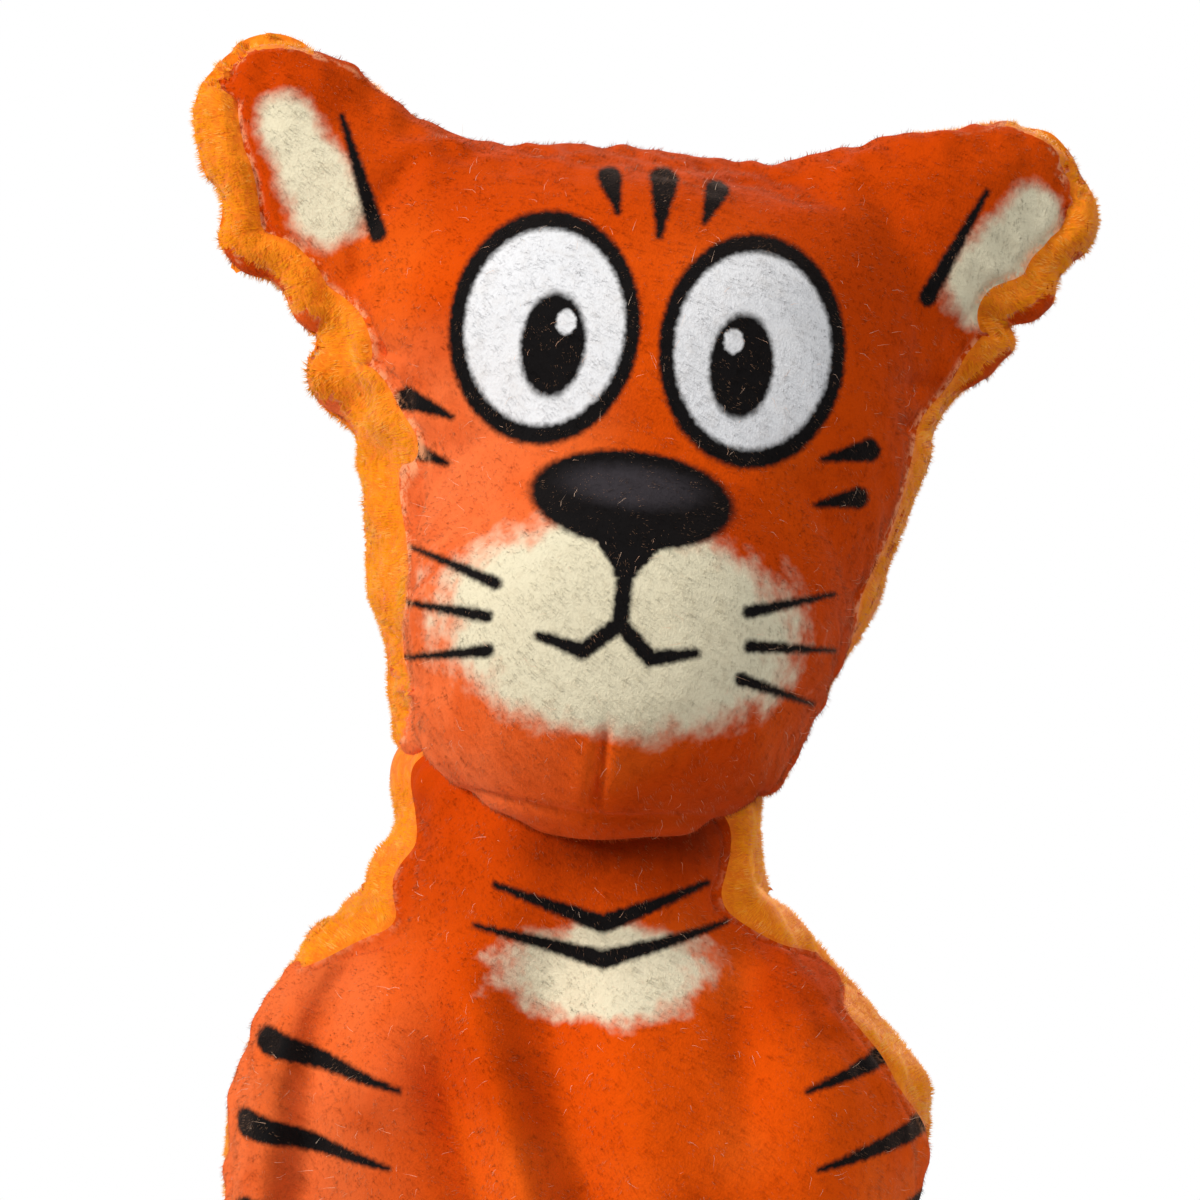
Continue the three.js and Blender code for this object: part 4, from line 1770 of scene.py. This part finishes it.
    def dress_head(self, wardrobe: Wardrobe, face: Thing,
                   back: Thing) -> None:
        """Finishes the head's two cloths and their pile.

        Args:
            wardrobe: The finishes.
            face: The velour.
            back: The plush's ground.
        """
        nap = self.nap.grow("face_nap", face, 11, self.comb_front, self.everywhere)
        lint = self.lint.grow("face_lint", face, 14, self.comb_front, self.everywhere)
        plush = [self.plush.grow(f"head_{side.name.lower()}_plush", back, 12 + side.value,
                                 self.comb_back, self.within(side)) for side in Side]
        for cloth in (face, back):
            Mesher.line(cloth, self.wall * MM)
        settle(face, wardrobe.face, "head", ("face_panel", "chin_panel"))
        settle(back, wardrobe.plush_cloth, "head", ("head_back_panel",))
        settle(nap, wardrobe.face, "head")
        settle(lint, wardrobe.lint, "head")
        for piece in plush:
            settle(piece, wardrobe.plush, "head")

    def dress_ear(self, wardrobe: Wardrobe, flat: Thing, ear: Ear,
                  seed: int) -> None:
        """Finishes one ear's two cloths and their pile.

        Args:
            wardrobe: The finishes.
            flat: The flattened skin.
            ear: The ear.
            seed: Picks the strands.
        """
        name = ear.side.ear
        root = (ear.root, -ear.outward)
        front = self.cloth(flat, f"{name}_front_cover", True, [root])
        back = self.cloth(flat, f"{name}_back_cover", False, [root])
        nap = self.nap.grow(f"{name}_nap", front, seed, self.comb_front, self.everywhere)
        plush = self.plush.grow(f"{name}_plush", back, seed + 1, self.comb_back, self.full)
        for cloth in (front, back):
            Mesher.line(cloth, self.wall * MM)
        settle(front, wardrobe.face, ear.bend(), (f"{name}_front",))
        settle(back, wardrobe.plush_cloth, ear.bend(), (f"{name}_back",))
        settle(nap, wardrobe.face, ear.bend())
        settle(plush, wardrobe.plush, ear.bend())


@dataclass
class BodyAssembly(Stuffed):
    """The slack stuffed body with its neck."""

    nodes: tuple[str, ...] = ("body_front_panel", "body_back_panel", "base_panel",
                              "body_filling", "neck_front_panel", "neck_back_panel",
                              "neck_filling")
    voxel: float = 3.8
    relax: int = 10
    stuffing: float = 3.0
    right_bulges: tuple[Row, ...] = (
        (5.5, 78.0, 17.0), (2.2, 110.0, 8.0), (-2.0, 134.0, 5.0), (-0.8, 117.0, 6.0))
    left_bulges: tuple[Row, ...] = ((2.0, 137.0, 9.0), (-2.2, 106.0, 12.0))
    left_tuck: float = 4.6
    base_edge: float = 2.4
    bend_start: float = 112.0
    bend_end: float = 137.0
    neck_radii: Pair = (38.5, 34.5)
    halfway: float = 62.0
    top: float = 160.0
    furrows: ClassVar[tuple[tuple[Pair, Pair, float, float], ...]] = (
        ((-58, 108), (-68, 40), 6.5, 5.5),
        ((-48, 112), (-58, 36), 7.0, -7.5),
        ((-40, 80), (-36, 34), 9.0, -4.0),
        ((-29, 98), (-14, 40), 7.0, -8.0),
        ((-25, 104), (-6, 44), 5.5, 5.0),
        ((-8, 112), (4, 42), 8.5, -9.0),
        ((45, 112), (49, 40), 14.0, 5.5),
        ((31, 118), (33, 72), 4.6, -1.6),
        ((-36, 128), (-27, 110), 4.0, -1.4),
        ((24, 60), (60, 40), 6.0, -1.8))

    def __post_init__(self) -> None:
        """Gives the body an unevenness of its own."""
        self.seed = 31

    def bend(self) -> Bend:
        """The span of the neck's cloth between the trunk and the neck.

        Returns:
            The span, as a Bend.
        """
        pivot = Vector(joint("head_turn")["pos_m"])
        start, end = pivot.copy(), pivot.copy()
        start.z, end.z = self.bend_start * MM, self.bend_end * MM
        return Bend("trunk", "neck", start, end)

    def setback(self, places: Points) -> Points:
        """Runs the velour back round the left flank and low on the right.

        Args:
            places: The skin's points, in metres.

        Returns:
            How far behind the outline each point's seam lies, in millimetres.
        """
        x, _, z = (places / MM).T
        left = 4.0 * (1 - ease(96.0, 108.0, z))
        return np.where(x < 0, left, 3.0 * (1 - ease(60.0, 76.0, z)))

    def fluff(self, places: Points) -> Points:
        """Brings the plush round much at the neck, and not low on the left.

        Args:
            places: The skin's points, in metres.

        Returns:
            How far it comes round, 0 to 1.
        """
        x, _, z = (places / MM).T
        left = ease(102.0, 114.0, z) * (0.85 - 0.3 * ease(116.0, 126.0, z))
        right = (0.65 + 0.35 * ease(106.0, 118.0, z)) * ease(66.0, 84.0, z)
        return np.where(x < 0, left, right * (1 - 0.9 * bell(z - 105.0, 5.5)))

    def shown(self, places: Points) -> Points:
        """A pile that ends where the head covers the neck."""
        return 1 - ease(139.0, 146.0, places[:, 2] / MM)

    def bared(self, places: Points) -> Points:
        """The velour's raw edge shows a little below the neck."""
        return 0.4 * (1 - ease(124.0, 132.0, places[:, 2] / MM))

    def build(self) -> None:
        """Stuffs the body and neck as one skin, with its folds and drawn-in seams."""
        self.skin = Mesher.gather("body_skin", self.nodes)
        Mesher.modify(self.skin, "REMESH", mode="VOXEL", voxel_size=self.voxel * MM)
        Mesher.smooth(self.skin, self.relax)
        self.widen_neck()
        self.fit()
        Mesher.smooth(self.skin, 4)
        places = self.inflate()
        _, y, z = (places / MM).T
        shows = (z > 5) & (z < 152) & (np.abs(y) < 20)
        self.side = SideSeam.follow(self.skin, shows)
        self.sew()

    def widen_neck(self) -> None:
        """Fills the hollow between the collar and the head, where the cloth runs straight."""
        x, y, z = (Mesher.points(self.skin) / MM).T
        middle = joint("head_turn")["pos_m"][1] / MM
        across = np.hypot(x / self.neck_radii[0], (y - middle) / self.neck_radii[1])
        top = np.where(x < 0, 9.0, 0.0)
        share = ease(104.0, 118.0, z) * (1 - ease(139.0, 150.0, z - top))
        short = np.clip(1.0 / np.maximum(across, 0.3), 1.0, 1.6)
        grow = 1 + (short - 1) * share
        Mesher.move(self.skin, np.stack([x * grow, middle + (y - middle) * grow, z], 1) * MM)

    def fit(self) -> None:
        """Lets the right hip and the left of the neck out, and tucks the left flank in."""
        places = Mesher.points(self.skin)
        x, _, z = (places / MM).T
        right, left = bulges(z, self.right_bulges), bulges(z, self.left_bulges)
        left -= self.left_tuck * ease(16.0, 50.0, z) * (1 - ease(124.0, 140.0, z))
        places[:, 0] += np.where(x > 0, right, left) * ease(8.0, 40.0, np.abs(x)) * MM
        Mesher.move(self.skin, places)

    def sew(self) -> None:
        """Draws in the side seams and lays the slack cloth in folds."""
        places, facing = Mesher.points(self.skin), Mesher.normals(self.skin)
        mm = places / MM
        seamed = ease(2.0, 8.0, mm[:, 2])
        push = (self.pucker(places) + 0.7 * ripple(mm, 38.0, 27)) * seamed
        moved = places + facing * push[:, None] * MM
        moved[:, 1] -= self.slack(places) * MM
        flat = moved[:, 2] < 1.2 * MM
        moved[flat, 2] = np.minimum(moved[flat, 2], 0.3 * MM)
        moved[:, 2] = np.maximum(moved[:, 2], 0.05 * MM)
        Mesher.move(self.skin, moved)

    @staticmethod
    def slack(places: Points) -> Points:
        """How far the slack front's folds stand out at places in metres, in millimetres."""
        x, behind, z = (places / MM).T
        return BodyAssembly.folds(x, z) * ease(4.0, 16.0, -behind)

    @staticmethod
    def folds(x: Points, z: Points) -> Points:
        """The slack front's folds.

        Args:
            x: Place across in millimetres.
            z: Place up in millimetres.

        Returns:
            How far the cloth stands out, in millimetres.
        """
        push = np.zeros(len(x))
        for start, end, width, depth in BodyAssembly.furrows:
            run = np.array(end) - np.array(start)
            span = np.linalg.norm(run)
            across, up = x - start[0], z - start[1]
            along = (across * run[0] + up * run[1]) / span
            aside = (across * run[1] - up * run[0]) / span
            ends = 1 - ease(0.75 * span, 1.2 * span, along)
            push += depth * bell(aside, width) * ends * ease(-0.2 * span, 0.25 * span, along)
        return push

    def full(self, places: Points) -> Points:
        """How full the plush is, up to the head, 0 to 1."""
        return super().full(places) * self.shown(places)

    def dress(self, wardrobe: Wardrobe) -> None:
        """Cuts the skin into its cloths, grows their pile and ties the base to the trunk; the pieces
        that cross the neck stay untied.

        Args:
            wardrobe: The finishes.
        """
        flat = self.flatten()
        foot, down = Vector((0, 0, self.base_edge * MM)), Vector((0, 0, -1))
        front = self.cloth(flat, "body_front_cover", True, [(foot, down)])
        back = self.cloth(flat, "body_back_cover", False, [(foot, down)])
        base = Mesher.cut(self.skin, "base_cover", [(foot, -down)])
        nap = self.nap.grow("body_nap", front, 61, self.comb_front, self.shown)
        lint = self.lint.grow("body_lint", front, 64, self.comb_front, self.shown)
        plush = []
        for side in Side:
            for level, low, high in (("lower", 0.0, self.halfway), ("upper", self.halfway, self.top)):
                plush.append(self.plush.grow(
                    f"body_{side.name.lower()}_{level}_plush", back, 62 + len(plush),
                    self.comb_back, self.within(side, low, high)))
        for cloth in (front, back, base):
            Mesher.line(cloth, self.wall * MM)
        settle(front, wardrobe.body, self.bend(),
               ("body_front_panel", "neck_front_panel"))
        settle(back, wardrobe.plush_cloth, self.bend(),
               ("body_back_panel", "neck_back_panel"))
        settle(base, wardrobe.plush_cloth, "trunk", ("base_panel",))
        settle(nap, wardrobe.body, self.bend())
        settle(lint, wardrobe.lint, self.bend())
        for piece in plush:
            settle(piece, wardrobe.plush, self.bend())
        Mesher.drop(flat)
        Mesher.drop(self.skin)


@dataclass
class Filling:
    """A lump of loose fibre inside a cover. Sizes are in millimetres."""

    node: str
    body: str
    voxel: float = 4.0
    shrink: float = 2.6
    lump: float = 0.9
    slack: Optional[Callable[[Points], Points]] = None

    def build(self) -> Thing:
        """Makes the lump a little smaller than its solid and uneven.

        Returns:
            The lump.
        """
        lump = Mesher.gather(f"{self.node}_fibre", (self.node,))
        Mesher.modify(lump, "REMESH", mode="VOXEL", voxel_size=self.voxel * MM)
        Mesher.smooth(lump, 3)
        places = Mesher.points(lump)
        push = -self.shrink + self.lump * ripple(places / MM, 12.0, len(self.node))
        if self.slack:
            push += np.minimum(self.slack(places), 0)
        Mesher.move(lump, places + Mesher.normals(lump) * push[:, None] * MM)
        lump.data.shade_smooth()
        return lump

    def dress(self, wardrobe: Wardrobe) -> None:
        """Builds the lump and ties it to its body."""
        settle(self.build(), wardrobe.fill, self.body, (self.node,))


@dataclass
class Hidden:
    """The sewn edges and the squeaker, which keep the frame's own shapes."""

    thread: tuple[str, ...] = ("body_left_overlock", "body_right_overlock", "head_overlock",
                               "neck_seam_ring")
    shell: tuple[str, ...] = ("squeaker_cup", "squeaker_cap")
    reed: tuple[str, ...] = ("squeaker_reed_holder", "squeaker_reed")

    def dress(self, wardrobe: Wardrobe) -> None:
        """Gives each of these nodes its material.

        Args:
            wardrobe: The finishes.
        """
        kinds = ((self.thread, wardrobe.thread), (self.shell, wardrobe.shell),
                 (self.reed, wardrobe.reed))
        for names, material in kinds:
            for name in names:
                node = frame["nodes"][name]
                node.data.materials.clear()
                node.data.materials.append(material)
                LOG.info("%s: kept from the frame", name)


@dataclass
class Studio:
    """A plain white studio: floor, soft light and the camera of the picture."""

    aim: Vector = Vector((0.004, -0.012, 0.180))
    across: float = 0.240
    distance: float = 1.0
    azimuth: float = math.radians(-1.5)
    floor_radius: float = 0.44
    sky: float = 0.15

    def build(self) -> None:
        """Sets up the floor, the world, the lamps and the camera."""
        scene = bpy.context.scene
        scene.view_settings.view_transform = "Standard"
        self.lay_floor()
        self.light_world(scene)
        self.hang("key", (-1.12, -0.68, 0.80), 0.40, 19.5, (1.0, 0.96, 0.92))
        self.hang("fill", (0.72, -0.80, 1.10), 0.7, 8.0, (1.0, 1.0, 1.0))
        self.hang("rim", (0.35, 0.75, 0.75), 0.5, 5.0, (1.0, 1.0, 1.0))
        self.aim_camera(scene)

    def lay_floor(self) -> None:
        """Lays a pale round floor that fades out into the background."""
        mesh = bpy.data.meshes.new("floor")
        with Mesher.shaping(mesh) as shape:
            bmesh.ops.create_circle(shape, cap_ends=True, segments=96, radius=self.floor_radius)
        floor = Mesher.show("floor", mesh)
        shader = Shader("pale_floor")
        x, y, _ = shader.axes(shader.place(scale=1.0))
        away = (x * x + y * y).root()
        speck = shader.noise(shader.place(), 0.5)
        pale = shader.mix(speck, (0.76, 0.76, 0.76, 1.0), (0.80, 0.80, 0.80, 1.0))
        matt = shader.node("ShaderNodeBsdfDiffuse", None, {"Color": pale})
        clear = shader.node("ShaderNodeBsdfTransparent")
        fade = away.step(0.5 * self.floor_radius, 0.98 * self.floor_radius)
        both = shader.node("ShaderNodeMixShader", None,
                           {0: fade, 1: matt.outputs[0], 2: clear.outputs[0]})
        shader.node("ShaderNodeOutputMaterial", None, {"Surface": both.outputs[0]})
        mesh.materials.append(shader.material)

    def light_world(self, scene: bpy.types.Scene) -> None:
        """Lights all round softly, and shows white behind the toy.

        Args:
            scene: The scene.
        """
        world = bpy.data.worlds.new("studio")
        scene.world = world
        shader = Shader("studio", world)
        path = shader.node("ShaderNodeLightPath")
        rays = [Signal(shader, path.outputs[name])
                for name in ("Is Camera Ray", "Is Glossy Ray", "Is Transmission Ray")]
        seen = rays[0].most(rays[1]).most(rays[2])
        strength = seen * (1.0 - self.sky) + self.sky
        light = shader.node("ShaderNodeBackground", None,
                            {"Color": (1.0, 1.0, 1.0, 1.0), "Strength": strength})
        shader.node("ShaderNodeOutputWorld", None, {"Surface": light.outputs[0]})

    def hang(self, name: str, place: Sequence[float], size: float, power: float,
             tint: tuple[float, float, float]) -> None:
        """Hangs one soft lamp that looks at the toy.

        Args:
            name: The lamp's name.
            place: Where it hangs.
            size: Its width in metres.
            power: Its power in watts.
            tint: Its colour.
        """
        light = bpy.data.lights.new(name, "AREA")
        light.shape = "DISK"
        light.size = size
        light.energy = power
        light.color = tint
        lamp = bpy.data.objects.new(name, light)
        bpy.context.scene.collection.objects.link(lamp)
        lamp.location = place
        lamp.rotation_mode = "QUATERNION"
        lamp.rotation_quaternion = (self.aim - Vector(place)).to_track_quat("-Z", "Y")

    def aim_camera(self, scene: bpy.types.Scene) -> None:
        """Stands the camera level in front of the toy.

        Args:
            scene: The scene.
        """
        lens = bpy.data.cameras.new("camera")
        lens.sensor_width = 36.0
        lens.lens = lens.sensor_width * self.distance / self.across
        camera = bpy.data.objects.new("camera", lens)
        scene.collection.objects.link(camera)
        back = Vector((math.sin(self.azimuth), -math.cos(self.azimuth), 0.0))
        camera.location = self.aim + back * self.distance
        camera.rotation_mode = "QUATERNION"
        camera.rotation_quaternion = (-back).to_track_quat("-Z", "Y")
        scene.camera = camera


def main() -> None:
    """Builds and dresses the toy, sub-assembly by sub-assembly."""
    logging.basicConfig(level=logging.INFO, format="%(message)s")
    head, body = HeadAssembly(), BodyAssembly()
    velour, plush = VelourFinish(), PlushFinish()
    wardrobe = Wardrobe(
        face=FacePrint().paint(velour, head.pivot, head.roll),
        body=BodyPrint().paint(velour),
        lint=velour.hairs(),
        plush=plush.pile(),
        plush_cloth=plush.cloth(),
        fill=FillFinish().material(),
        thread=ThreadFinish().material(),
        shell=MouldedFinish("squeaker_shell", srgb(236, 236, 232), srgb(216, 216, 210),
                            0.4).material(),
        reed=MouldedFinish("squeaker_reed", srgb(56, 56, 64), srgb(44, 44, 50),
                           0.35).material())
    head.build()
    head.dress(wardrobe)
    body.build()
    body.dress(wardrobe)
    for filling in (Filling("head_filling", "head", shrink=7.0), Filling("neck_filling", "neck"),
                    Filling("body_filling", "trunk", shrink=6.5, slack=body.slack)):
        filling.dress(wardrobe)
    Hidden().dress(wardrobe)
    Studio().build()


if __name__ == "__main__":
    main()
